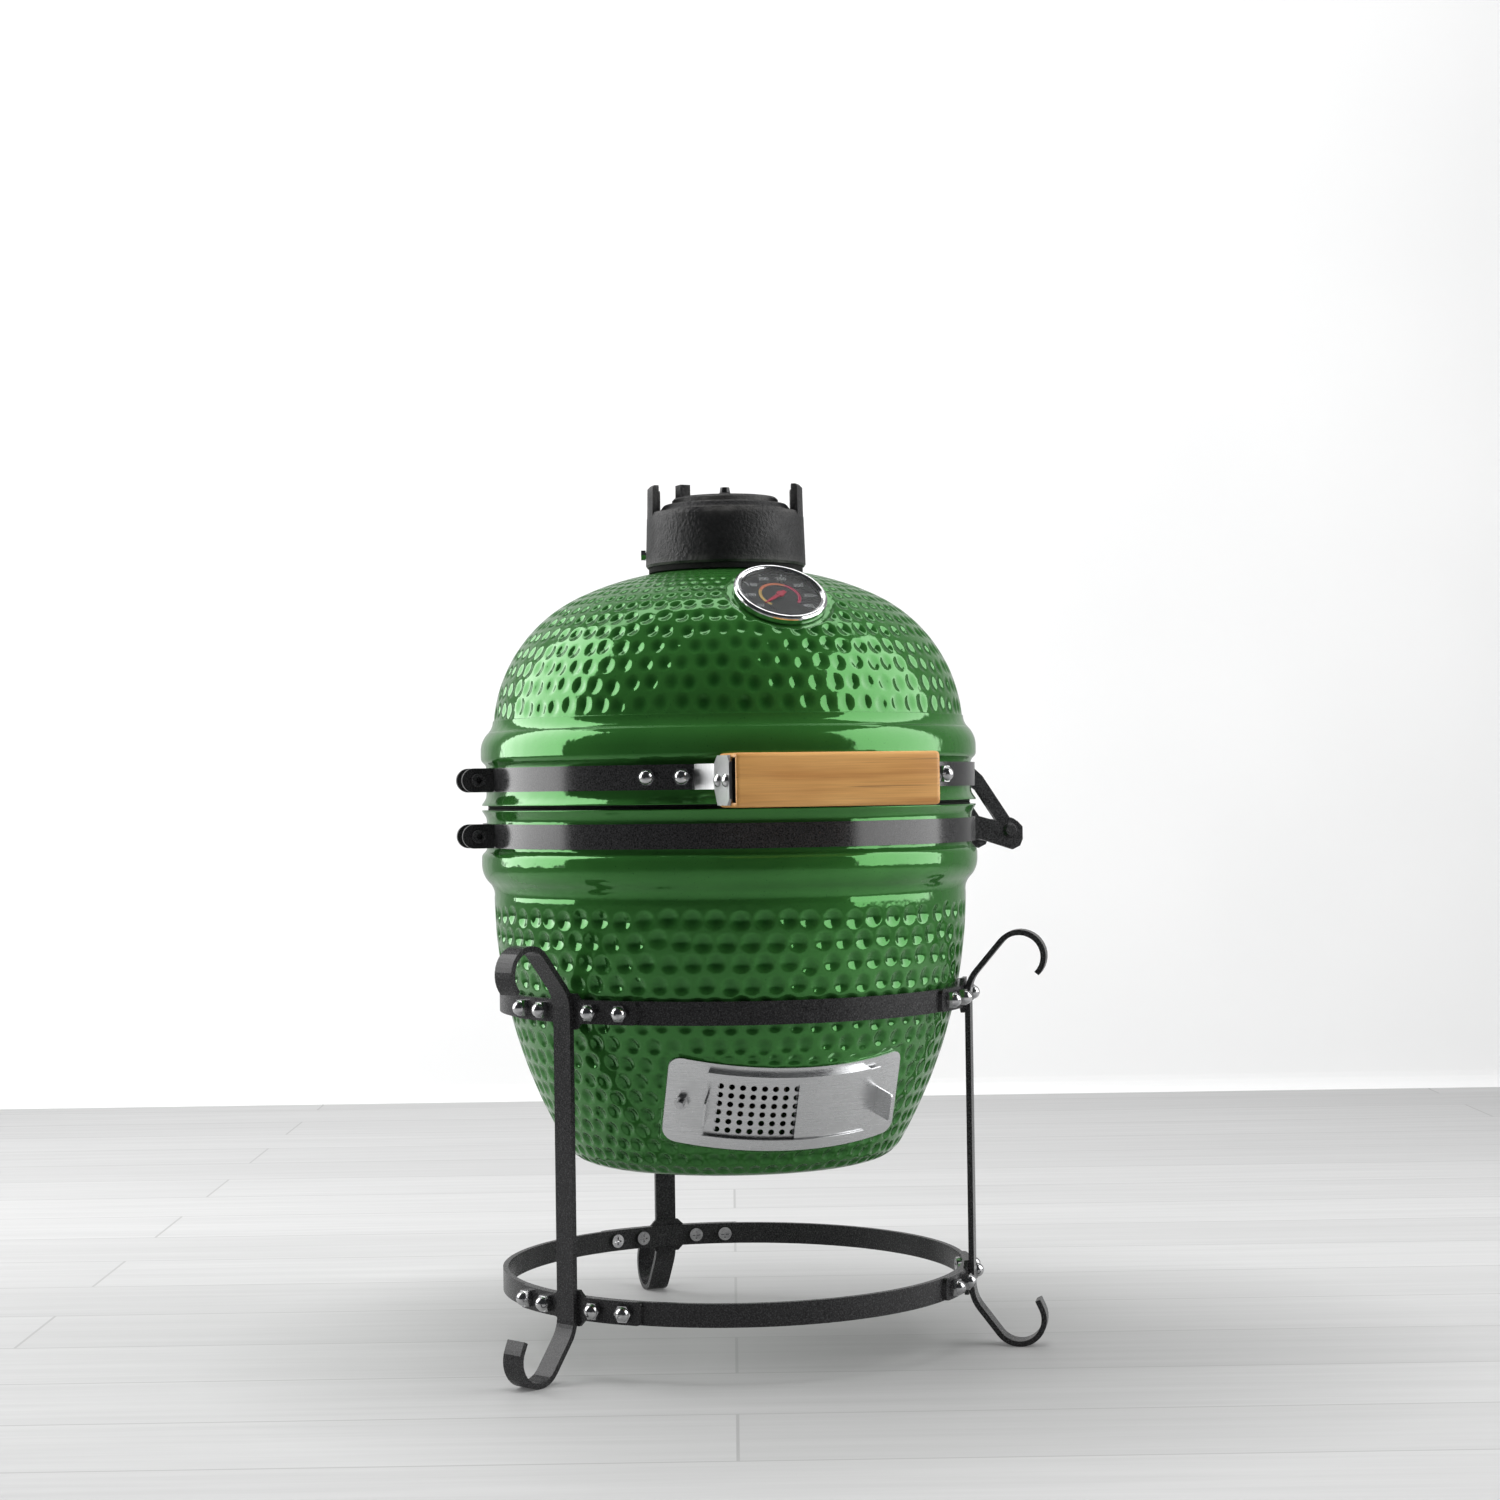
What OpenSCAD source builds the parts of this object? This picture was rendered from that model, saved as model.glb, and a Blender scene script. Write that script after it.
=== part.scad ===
// Small ceramic charcoal grill on a three-legged ring stand, in millimetres.
// The origin is on the floor, on the axis of the ceramic body. +Z is up and the
// front, with the draft door, the handle and the thermometer, faces -Y. The lid
// opens about a hinge on the +X side, and the bands are clamped on the -X side.

/* [Ceramic body] */
// Widest radius of the rolled rims, where the base and the dome meet
rim_r = 165; // [162:1:168]
// Height of the seam between the base and the dome
seam_z = 355.5; // [350:0.5:360]
// Height of the flat underside of the base
base_z = 121; // [119:0.5:122]
// Wall thickness of the ceramic
wall = 18; // [14:1:20]
// Radius of the chimney neck on top of the dome
neck_r = 46; // [42:1:48]

/* [Stand] */
// Width of the flat bar that the stand is bent from
bar_w = 14.5; // [12:0.5:16]
// Thickness of the flat bar
bar_t = 3.5; // [3:0.5:4]
// Inner radius of the two stand rings
ring_r = 151; // [151:0.5:153]
// Height of the middle of the lower ring
low_ring_z = 44.5; // [44:0.5:60]
// Height of the middle of the upper ring
high_ring_z = 228.7; // [226:0.1:229]
// Radius of the curled foot, at the middle of the bar
foot_curl_r = 16.25; // [14:0.25:18]
// Radius of the scroll at the top of a leg, at the middle of the bar
top_curl_r = 15.7; // [14:0.1:17]

/* [Bands and hinge] */
// Height of a clamp band
band_w = 15.5; // [14:0.5:17]
// Thickness of a clamp band
band_t = 2.5; // [2:0.5:3]
// Distance of the hinge pin from the body's axis
hinge_x = 191.5; // [190:0.5:193]
// Height of the hinge pin
hinge_z = 335; // [333:1:336]
// Half of the width across the fixed hinge plates
hinge_half_w = 30; // [28:1:32]

/* [Handle] */
// Length of the wooden handle
grip_len = 130.4; // [120:0.2:140]
// Height of the wooden handle
grip_h = 32.5; // [30:0.5:34]
// Depth of the wooden handle
grip_d = 33; // [30:1:33]
// Distance of the handle's outer face from the body's axis
grip_out = 208.5; // [208:0.5:212]

/* [Draft door] */
// Tilt of the draft door's curved plate out of the vertical
vent_tilt = 20.5; // [19:0.5:22]
// Angle from the front to the vent frame's left end
vent_left_a = 35; // [34:1:37]
// Angle from the front to the vent frame's right end
vent_right_a = 31; // [30:1:33]
// Half of the height of the vent frame
vent_half_h = 28.5; // [27:0.5:30]
// Rows of air holes in the sliding screen
screen_rows = 6; // [4:1:6]
// Columns of air holes in the sliding screen
screen_cols = 8; // [5:1:8]
// Radius of an air hole in the sliding screen
screen_hole_r = 1.9; // [1.2:0.1:2.2]

/* [Thermometer] */
// Radius of the thermometer's bezel
bezel_r = 30.3; // [28:0.1:31]
// Lean of the thermometer back from the front
gauge_lean = 38.5; // [38:0.5:39]

/* [Chimney cap] */
// Outer radius of the cast chimney cap at its foot
cap_r = 53.5; // [53:0.5:55]
// Height of the top edge of the cast chimney cap
cap_top_z = 550; // [549:0.5:551]
// Number of air openings in the chimney discs
petals = 6; // [4:1:6]

/* [Hidden] */
$fn = 48;

fit = 0.05;                      // running clearance of a shaft in its hole
gap = 0.3;                       // room between pieces that only lie close
eps = 0.02;                      // overlap that joins two shapes of one piece
through = 400;                   // longer than any cut has to be

// Ceramic profile
rim_bead_r = 17;                 // rolled rim's own radius
rim_fillet_r = 11;               // hollow curve from the rim to the body
bead_a = 45;                     // where the rim's bead turns into the hollow
bead_off = 37.5;                 // rim's widest point above or below the seam
flange_r = rim_r - 0.5;          // narrow flanges on each side of the seam
flange_h = 2.2;
seat_r = rim_r - 3.5;             // the bands' seats
seat_end = 28;                   // far end of a seat from the seam
felt_t = 1.4;                    // felt gasket thickness
felt_gap = 0.15;                 // half of the gap between the two felts
body_r = rim_r - 8;              // base body at its widest
body_arc_r = 334;
body_arc_z = seam_z - 55.5;
foot_arc_r = 24;                 // rounded edge of the underside
foot_arc_a = 30;
mouth_r = 141;                   // inner radius at the seam
dome_arc = [57, 404];            // centre of the dome's shoulder arc, r and z
dome_arc_r = 99.5;
dome_arc_a = 64.8;               // where the shoulder turns into the crown
crown_arc_r = 190;
crown_arc = dome_arc + (dome_arc_r - crown_arc_r) * [cos(dome_arc_a), sin(dome_arc_a)];
neck_top_z = 527;
flue_r = neck_r - 12;            // hole through the neck

// Bands
band_r = seat_r + 0.1;           // inner radius of a band
band_or = band_r + band_t;
low_band_z = seam_z - 18;        // middle heights of the two bands
high_band_z = seam_z + 18.25;
ear_reach = 184;                 // distance of an ear's end from the axis
ear_y = 6.5;                     // inner face of an ear from the mid plane
ear_bolt_x = -174;
ear_hole_r = 2.7;
m5_r = 2.5;                      // radius of an M5 screw
m5_af = 8;                       // width of an M5 nut across its flats
m5_nut_h = 4;

// Hinge
pin_r = 3;
hinge_plate_t = 2.5;
hinge_eye_r = 9;
hinge_arm_t = 3.7;
hinge_arm_y = hinge_half_w - hinge_plate_t - gap;      // outer face of an arm
hinge_foot_r = band_or + 0.1;
hinge_foot_t = 2.5;

// Stand
ring_or = ring_r + bar_t;
plate_t = 2.5;                   // curved joining plates
plate_or = ring_or + plate_t;
leg_r = plate_or + bar_t / 2;    // middle of a leg's bar
leg_angles = [-60, 60, 180];     // measured from the front towards +X
leg_bend_r = 24;
foot_slope = 52;                 // slope of the bar above a foot
top_slope = 50;                  // slope of the bar below a scroll
foot_c = [189.5, foot_curl_r + bar_t / 2];
foot_open_a = 25;                // how far a foot's curl closes past level
foot_tip = 6;                    // straight end of a foot
scroll_c = [193, 254];
scroll_end_a = -45;
plate_half_a = 20;               // half angle of a joining plate
plate_corner = 3;
plate_flare = 4;                 // how far a plate rises beside its leg
bolt_angles = [-15.7, -7.65, 7.65, 15.7];
bolt_r = 3;
bolt_hole_r = 3.2;
head_r = 5.2;
head_h = 2.6;
nut_af = 10;

// Handle
grip_z = seam_z + 15.75;         // middle height of the handle
grip_in = grip_out - grip_d;
grip_edge = 1.5;                 // chamfer on the handle's long edges
strap_t = 2;
strap_foot_r = band_or + 0.1;
strap_foot_or = strap_foot_r + strap_t;
fold_a = 25.3;                   // angle from the front where a strap folds off
foot_end_a = 38.4;
stud_angles = [28.2, 35.7];
end_plate_d = 26;                // depth of the steel plate on the handle's end
end_plate_h = 30;
end_plate_cut = 4;               // cut corners of that plate
wood_screw_y = [grip_in + 6, grip_in + 21];
wood_screw_r = 1.8;
slot_d = 3.5;                    // dark slot in the handle's end
slot_h = 25;

// Draft door, in a frame of its own whose Z axis is the doors' bending axis
vent_z = 215.3;                  // height at which that axis crosses the body's
vent_r = 138.8;                  // inner radius of the frame's sheet
sheet_t = 1.2;
screen_r = vent_r + sheet_t + gap;
draft_r = screen_r + sheet_t + gap;
rail_r = draft_r + sheet_t + gap;
rail_z = 22.5;                   // doors' half height
rail_lip = 5;                    // how far a rail's lip covers the doors
rail_a = [-24.5, 18.5];
window_a = [-21.5, -1.5];          // air window through frame and ceramic
window_half_h = 17;
frame_corner = 7.5;
screen_a = [-24.3, 0.5];
draft_a = [-1.3, 22.3];
hole_pitch_a = 2.78;
hole_pitch_z = 5.9;
hole_first_a = -21.1;
tab_reach = 14;
tab_half_h = 9;
tab_corner = 2;
stud_a = -30.5;                  // the frame's two fasteners
flush_a = 26.5;

// Thermometer, in a frame of its own whose Z axis is the dial's normal
bezel_top = 6.2;
gauge_face = [109.5, 491];       // middle of the bezel's front, out from the axis and up
gauge_at = gauge_face - bezel_top * [sin(gauge_lean), cos(gauge_lean)];
gauge_seat_r = 33.5;             // flat seat that is cut into the dome
case_r = bezel_r - 2.3;
dial_z = 1.9;
glass_z = 4.4;
stem_r = 3.2;
stem_hole_r = 5;
stem_len = 56;
gauge_nut_z = -20.5;
needle_rest_a = 128;

// Chimney
cap_foot_z = 514;
cap_lean = 1;                    // the cap narrows by this much to its top
cap_bore_r = neck_r + 0.6;
cap_shelf_z = 533;
cap_recess_r = 46;
cap_recess_z = 545;
lug_half_a = 23;
lug_angles = [-108.5, 71.5];
lug_t = 4.8;
lug_h = 18;
plate_r = 44.5;
plate_top_z = 555.5;
plate_step_r = 42;
wheel_r = 35.5;
wheel_z = plate_top_z + gap;
wheel_t = 4.5;
petal_hole_r = 7;
petal_at_r = 22;
daisy_pin_r = 2.5;

// ---------------------------------------------------------------- helpers

function arc(c, r, a0, a1, n) = [for (i = [0:n]) c + r * [cos(a0 + (a1 - a0) * i / n), sin(a0 + (a1 - a0) * i / n)]];
function shifted(pts, d) = [for (i = [0:len(pts) - 1])
    let (a = pts[max(i - 1, 0)], b = pts[min(i + 1, len(pts) - 1)], t = (b - a) / norm(b - a))
    pts[i] + d * [-t[1], t[0]]];
function backwards(pts) = [for (i = [len(pts) - 1:-1:0]) pts[i]];
// A flat bar seen from its edge: a line of points made t thick
function strip(pts, t) = concat(shifted(pts, t / 2), backwards(shifted(pts, -t / 2)));

// Turns children that face -Y round to an angle from the front, towards +X
module facing(a) { rotate([0, 0, a]) children(); }

// Part of a ring between two angles from the front, from an r-z outline
module sector(a0, a1, fn = 120) {
    rotate([0, 0, a0 - 90]) rotate_extrude(angle = a1 - a0, $fn = fn) children();
}

module ring(r0, r1, z0, z1, fn = 120) {
    rotate_extrude($fn = fn) translate([r0, z0]) square([r1 - r0, z1 - z0]);
}

// A round bar that points from the axis towards the front
module radial_rod(r, from, to, z, fn = 32) {
    translate([0, -from, z]) rotate([90, 0, 0]) cylinder(r = r, h = to - from, $fn = fn);
}

// Hexagon nut or a hexagon head standing on the XY plane
module hexagon(af, h) { cylinder(r = af / sqrt(3), h = h, $fn = 6); }

// Closed nut with a domed end, standing on the XY plane, open for its screw
module cap_nut(af = nut_af, h = 4, deep = 5) {
    difference() {
        union() {
            hexagon(af, h);
            translate([0, 0, h - 0.5]) sphere(r = af / 2 - 0.3, $fn = 32);
        }
        translate([0, 0, -(af / 2)]) cylinder(r = af, h = af / 2, $fn = 32);
        translate([0, 0, -eps]) cylinder(r = bolt_r + fit, h = deep, $fn = 32);
    }
}

// ---------------------------------------------------------------- stand

module stand_ring(z) {
    difference() {
        ring(ring_r, ring_or, z - bar_w / 2, z + bar_w / 2);
        for (leg = leg_angles, b = bolt_angles)
            facing(leg + b) radial_rod(bolt_hole_r, ring_r - 5, ring_or + 5, z);
    }
}

module lower_ring() { color("#1b1b1c") stand_ring(low_ring_z); }

module upper_ring() {
    color("#1b1b1c") difference() {
        stand_ring(high_ring_z);
        for (leg = leg_angles, b = bolt_angles)
            facing(leg + b) translate([0, -ring_r + eps, high_ring_z]) rotate([90, 0, 0])
                cylinder(r1 = head_r + fit, r2 = bolt_hole_r, h = 2.2, $fn = 32);
    }
}

// Middle line of a leg's bar, outwards and up, from the foot's tip to the scroll's
function leg_line() =
    let (tip_a = foot_open_a,
         tip = foot_c + foot_curl_r * [cos(tip_a), sin(tip_a)] + foot_tip * [-sin(tip_a), cos(tip_a)],
         curl_a = foot_slope - 90 - 104,
         low = foot_c + foot_curl_r * [cos(curl_a), sin(curl_a)],
         bend_c = leg_r + leg_bend_r,
         bend_low = [bend_c - leg_bend_r * cos(90 - foot_slope), 0],
         low_z = low[1] + (low[0] - bend_low[0]) * tan(foot_slope) + leg_bend_r * sin(90 - foot_slope),
         high = scroll_c + top_curl_r * [-sin(top_slope), cos(top_slope)],
         bend_high = bend_c - leg_bend_r * cos(90 - top_slope),
         high_z = high[1] - (high[0] - bend_high) * tan(top_slope) - leg_bend_r * sin(90 - top_slope))
    concat([tip],
           arc(foot_c, foot_curl_r, tip_a, curl_a, 18),
           arc([bend_c, low_z], leg_bend_r, 270 - foot_slope, 180, 6),
           arc([bend_c, high_z], leg_bend_r, 180, 90 + top_slope, 6),
           arc(scroll_c, top_curl_r, 90 + top_slope, scroll_end_a, 18));

module leg(a) {
    facing(a) rotate([0, 0, -90]) translate([0, bar_w / 2, 0]) rotate([90, 0, 0])
        linear_extrude(bar_w) polygon(strip(leg_line(), bar_t));
}

module front_left_leg() { color("#1b1b1c") leg(leg_angles[0]); }
module front_right_leg() { color("#1b1b1c") leg(leg_angles[1]); }
module back_leg() { color("#1b1b1c") leg(leg_angles[2]); }

// Curved plate behind a leg, as tall as the ring and a little taller at the leg
module leg_plate(z) {
    half_l = ring_or * sin(plate_half_a);
    half_h = bar_w / 2;
    near = bar_w / 2 + 1;
    far = near + plate_flare;
    side = concat([[half_l, -half_h + plate_corner]],
                  arc([half_l - plate_corner, half_h - plate_corner], plate_corner, 0, 90, 4),
                  [[far, half_h], [near, half_h + plate_flare]]);
    top = concat([for (p = side) if (p[1] > 0) p], [for (p = backwards(side)) if (p[1] > 0) [-p[0], p[1]]]);
    outline = concat(top, [for (p = backwards(top)) [p[0], -p[1]]]);
    difference() {
        intersection() {
            ring(ring_or + fit, plate_or, z - bar_w, z + bar_w);
            translate([0, -ring_r / 2, z]) rotate([90, 0, 0]) linear_extrude(ring_r) polygon(outline);
        }
        for (b = bolt_angles) facing(b) radial_rod(bolt_hole_r, ring_r, plate_or + 5, z);
    }
}

module lower_leg_plates() { color("#1b1b1c") for (a = leg_angles) facing(a) leg_plate(low_ring_z); }
module upper_leg_plates() { color("#1b1b1c") for (a = leg_angles) facing(a) leg_plate(high_ring_z); }

// Pan-head screw from inside the ring, its shank pointing outwards
module lower_ring_screws() {
    color("#c9cacc") for (leg = leg_angles, b = bolt_angles) facing(leg + b) {
        radial_rod(bolt_r, ring_r - 0.5, plate_or + 4.5, low_ring_z);
        difference() {
            translate([0, -ring_r + head_h + 0.1, low_ring_z]) rotate([90, 0, 0])
                cylinder(r1 = head_r - 0.5, r2 = head_r, h = head_h, $fn = 32);
            for (turn = [0, 90]) translate([0, -ring_r + head_h, low_ring_z]) rotate([0, turn, 0])
                cube([5.6, 3, 1.3], center = true);
        }
    }
}

module upper_ring_screws() {
    color("#c9cacc") for (leg = leg_angles, b = bolt_angles) facing(leg + b) {
        radial_rod(bolt_r, ring_r + 1, plate_or + 4.5, high_ring_z);
        translate([0, -ring_r - fit, high_ring_z]) rotate([90, 0, 0])
            cylinder(r1 = head_r - fit, r2 = bolt_r, h = 2.1, $fn = 32);
    }
}

module ring_cap_nuts() {
    color("#c9cacc") for (z = [low_ring_z, high_ring_z], leg = leg_angles, b = bolt_angles)
        facing(leg + b) translate([0, -plate_or - fit, z]) rotate([90, 0, 0]) cap_nut();
}

// ---------------------------------------------------------------- ceramic

// Rolled rim from its flange to where it meets the body, up is 1 or -1
function rim_line(up, edge) =
    let (bead_c = [rim_r - rim_bead_r, seam_z + up * bead_off],
         reach = rim_bead_r + rim_fillet_r,
         hollow_c = bead_c + reach * [cos(bead_a), up * sin(bead_a)])
    concat([[flange_r, edge], [flange_r, seam_z + up * flange_h], [seat_r, seam_z + up * (flange_h + 4.4)],
            [seat_r, seam_z + up * seat_end], [rim_r, seam_z + up * (seat_end + 3)]],
           arc(bead_c, rim_bead_r, 0, up * bead_a, 6),
           arc(hollow_c, rim_fillet_r, up * (180 + bead_a), up * 180, 5));

function base_outline() =
    let (edge = seam_z - felt_t - felt_gap,
         body_c = [body_r - body_arc_r, body_arc_z],
         foot_a = -foot_arc_a,
         corner = body_c + body_arc_r * [cos(foot_a), sin(foot_a)],
         foot_x = corner[0] - foot_arc_r * cos(foot_arc_a),
         in_a = -asin((body_arc_z - base_z - wall) / (body_arc_r - wall)))
    concat([[0, base_z]],
           arc([foot_x, base_z + foot_arc_r], foot_arc_r, -90, foot_a, 6),
           backwards(arc(body_c, body_arc_r, -0.6, foot_a + 0.3, 14)),
           backwards(rim_line(-1, edge)),
           [[mouth_r, edge]],
           arc(body_c, body_arc_r - wall, 0, in_a, 12),
           [[0, base_z + wall]]);

function dome_outline() =
    let (edge = seam_z + felt_t + felt_gap,
         out_end = acos((neck_r - crown_arc[0]) / crown_arc_r),
         in_end = acos((flue_r - crown_arc[0]) / (crown_arc_r - wall)))
    concat(rim_line(1, edge),
           arc(dome_arc, dome_arc_r, 6, dome_arc_a, 12),
           arc(crown_arc, crown_arc_r, dome_arc_a + 0.8, out_end, 7),
           [[neck_r, neck_top_z], [flue_r, neck_top_z]],
           backwards(arc(crown_arc, crown_arc_r - wall, dome_arc_a + 0.8, in_end, 6)),
           backwards(arc(dome_arc, dome_arc_r - wall, 0, dome_arc_a, 12)),
           [[mouth_r, edge]]);

// Places children in the draft door's own frame
module at_vent() { translate([0, 0, vent_z]) rotate([vent_tilt, 0, 0]) children(); }

module vent_window(r0, r1, grow = 0) {
    at_vent() sector(window_a[0] - grow, window_a[1] + grow)
        translate([r0, -window_half_h - grow]) square([r1 - r0, 2 * (window_half_h + grow)]);
}

// Moulded seat behind the draft door's frame
module vent_seat(r0, r1) {
    grown_h = vent_half_h + 1;
    sector(-vent_left_a - 0.6, vent_right_a + 0.6) translate([r0, -grown_h]) square([r1 - r0, 2 * grown_h]);
}

module ceramic_base() {
    color("#1f7a34") difference() {
        union() {
            rotate_extrude($fn = 160) polygon(base_outline());
            at_vent() vent_seat(vent_r - 9, vent_r - gap);
        }
        at_vent() vent_seat(vent_r - gap, vent_r + 25);
        vent_window(95, 165);
        at_vent() for (a = [stud_a, flush_a]) facing(a) radial_rod(m5_r + gap, 125, 150, 0);
    }
}

module ceramic_dome() {
    color("#1f7a34") difference() {
        rotate_extrude($fn = 160) polygon(dome_outline());
        at_gauge() translate([0, 0, -60]) cylinder(r = stem_hole_r, h = 80, $fn = 40);
        at_gauge() cylinder(r = gauge_seat_r, h = 30, $fn = 72);
    }
}

module felt(z) { ring(mouth_r + 6, flange_r - 4, z, z + felt_t); }
module base_gasket() { color("#2a2b2b") felt(seam_z - felt_t - felt_gap); }
module dome_gasket() { color("#2a2b2b") felt(seam_z + felt_gap); }

// Ceramic bowl that holds the charcoal, with an air opening to the front
module fire_box() {
    floor_z = base_z + wall + gap;
    color("#b9a98c") difference() {
        rotate_extrude($fn = 96) polygon([
            [30, floor_z], [84, floor_z], [108, 172], [119, 236], [107, 236], [96, 182], [84, 182],
            [84, 172], [92, 172], [74, floor_z + 12], [30, floor_z + 12]]);
        vent_window(60, 140, 2);
    }
}

module fire_ring() {
    color("#b9a98c") rotate_extrude($fn = 96)
        polygon([[107, 236 + gap], [119, 236 + gap], [130, 332], [117, 332]]);
}

module charcoal_grate() {
    color("#2b2b2c") difference() {
        translate([0, 0, 182 + gap]) cylinder(r = 94, h = 6, $fn = 96);
        for (y = [-60:15:60]) {
            half = sqrt(88 * 88 - y * y) - 8;
            translate([0, y, 184]) cube([2 * half, 6, 20], center = true);
        }
    }
}

module cooking_grate() {
    grate_r = 133;
    rod_r = 1.8;
    z = 332 + gap + rod_r;
    color("#b4b5b6") {
        rotate_extrude($fn = 96) translate([grate_r - 2.5, z - rod_r]) square([5, 2 * rod_r]);
        for (i = [-8:8]) {
            y = i * 14.5;
            half = sqrt(grate_r * grate_r - y * y);
            translate([-half, y, z + 0.9]) rotate([0, 90, 0]) cylinder(r = rod_r, h = 2 * half, $fn = 16);
        }
        for (x = [-60, 60]) {
            half = sqrt(grate_r * grate_r - x * x);
            translate([x, half, z - 0.2]) rotate([90, 0, 0]) cylinder(r = rod_r - 0.1, h = 2 * half, $fn = 16);
        }
    }
}

// ---------------------------------------------------------------- bands

// A split hoop with two bolted ears on the -X side
module clamp_band(z) {
    split_a = asin((ear_y + band_t / 2) / band_r);
    ear_mid = ear_reach - band_w / 2;
    difference() {
        union() {
            sector(-90 + split_a, 270 - split_a, 160)
                translate([band_r, z - band_w / 2]) square([band_t, band_w]);
            for (side = [-1, 1]) {
                y0 = side > 0 ? ear_y : -ear_y - band_t;
                translate([-ear_mid, y0, z - band_w / 2])
                    cube([ear_mid - band_r - 0.3, band_t, band_w]);
                translate([-ear_mid, y0, z]) rotate([-90, 0, 0]) cylinder(r = band_w / 2, h = band_t, $fn = 40);
            }
        }
        translate([ear_bolt_x, -20, z]) rotate([-90, 0, 0]) cylinder(r = ear_hole_r, h = 40, $fn = 32);
    }
}

module band_screw(z) {
    out = ear_y + band_t;
    difference() {
        union() {
            translate([ear_bolt_x, -out - 0.1, z]) rotate([-90, 0, 0]) cylinder(r = m5_r, h = 2 * out + 6, $fn = 32);
            translate([ear_bolt_x, -out - 5, z]) rotate([-90, 0, 0]) cylinder(r = 4.25, h = 5 - fit, $fn = 32);
        }
        translate([ear_bolt_x, -out - 6, z]) rotate([-90, 0, 0]) hexagon(4, 3.5);
    }
}

module band_nut(z) {
    translate([ear_bolt_x, ear_y + band_t + fit, z]) rotate([-90, 0, 0]) difference() {
        hexagon(m5_af, m5_nut_h);
        translate([0, 0, -1]) cylinder(r = m5_r + fit, h = m5_nut_h + 2, $fn = 32);
    }
}

module lower_band() { color("#1d1d1e") clamp_band(low_band_z); }
module upper_band() {
    color("#1d1d1e") difference() {
        clamp_band(high_band_z);
        for (side = [-1, 1], a = stud_angles)
            facing(side * a) radial_rod(bolt_r + fit, band_r - 2, band_or + 5, high_band_z);
    }
}
module lower_band_screw() { color("#2a2a2b") band_screw(low_band_z); }
module upper_band_screw() { color("#2a2a2b") band_screw(high_band_z); }
module lower_band_nut() { color("#2a2a2b") band_nut(low_band_z); }
module upper_band_nut() { color("#2a2a2b") band_nut(high_band_z); }

// ---------------------------------------------------------------- hinge

// An upright plate beside the hinge pin, from an x-z outline, as a pair
module plate_pair(y_out, t, outline) {
    for (side = [-1, 1]) translate([0, side > 0 ? y_out : -y_out + t, 0])
        rotate([90, 0, 0]) linear_extrude(t) polygon(outline);
}

module hinge_hole(r) {
    translate([hinge_x, -50, hinge_z]) rotate([-90, 0, 0]) cylinder(r = r, h = 100, $fn = 48);
}

module hinge_foot(half_y, z) {
    a = asin((half_y - hinge_plate_t / 2) / hinge_foot_r);
    sector(90 - a, 90 + a) translate([hinge_foot_r, z - band_w / 2]) square([hinge_foot_t, band_w]);
}

module hinge_base() {
    low = low_band_z - band_w / 2;
    high = low_band_z + band_w / 2;
    root = rim_r - 1.7;
    color("#202021") difference() {
        union() {
            hinge_foot(hinge_half_w, low_band_z);
            plate_pair(hinge_half_w, hinge_plate_t, [
                [root, low], [root, high], [root + 5, high], [hinge_x - 9, hinge_z + 6.5],
                [hinge_x + 5.5, hinge_z + 6.5], [hinge_x + 9.5, hinge_z + 2.5], [hinge_x + 9.5, hinge_z - 6],
                [hinge_x + 7.5, hinge_z - 10.5], [hinge_x + 2, hinge_z - 13], [root + 5.5, low]]);
        }
        hinge_hole(pin_r + fit);
    }
}

module hinge_arms() {
    root = rim_r - 1.7;
    color("#202021") difference() {
        union() {
            hinge_foot(hinge_arm_y, high_band_z);
            plate_pair(hinge_arm_y, hinge_arm_t, [
                [root, high_band_z - 7.5], [root, high_band_z + 3.5], [root + 4, high_band_z + 3.5],
                [root + 9.5, high_band_z - 1.3], [hinge_x + 5, hinge_z + 3.4], [hinge_x - 2.6, hinge_z - 1.8],
                [root + 5, high_band_z - 10.9]]);
            for (side = [-1, 1]) translate([hinge_x, side > 0 ? hinge_arm_y - hinge_arm_t : -hinge_arm_y, hinge_z])
                rotate([-90, 0, 0]) cylinder(r = hinge_eye_r, h = hinge_arm_t, $fn = 64);
        }
        hinge_hole(pin_r + fit);
    }
}

module hinge_tube() {
    half = hinge_arm_y - hinge_arm_t - fit;
    color("#3a3a3b") difference() {
        translate([hinge_x, -half, hinge_z]) rotate([-90, 0, 0]) cylinder(r = 7.5, h = 2 * half, $fn = 48);
        hinge_hole(pin_r + fit);
    }
}

module hinge_pin() {
    color("#3a3a3b") {
        translate([hinge_x, -hinge_half_w - 0.5, hinge_z]) rotate([-90, 0, 0])
            cylinder(r = pin_r, h = 2 * hinge_half_w + 6, $fn = 48);
        translate([hinge_x, -hinge_half_w - fit, hinge_z]) rotate([90, 0, 0])
            cylinder(r1 = 5.2, r2 = 3.6, h = 2, $fn = 48);
    }
}

module hinge_nut() {
    color("#3a3a3b") translate([hinge_x, hinge_half_w + fit, hinge_z]) rotate([-90, 0, 0]) difference() {
        hexagon(10, 5);
        translate([0, 0, -1]) cylinder(r = pin_r + fit, h = 7, $fn = 48);
    }
}

// ---------------------------------------------------------------- handle

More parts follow.
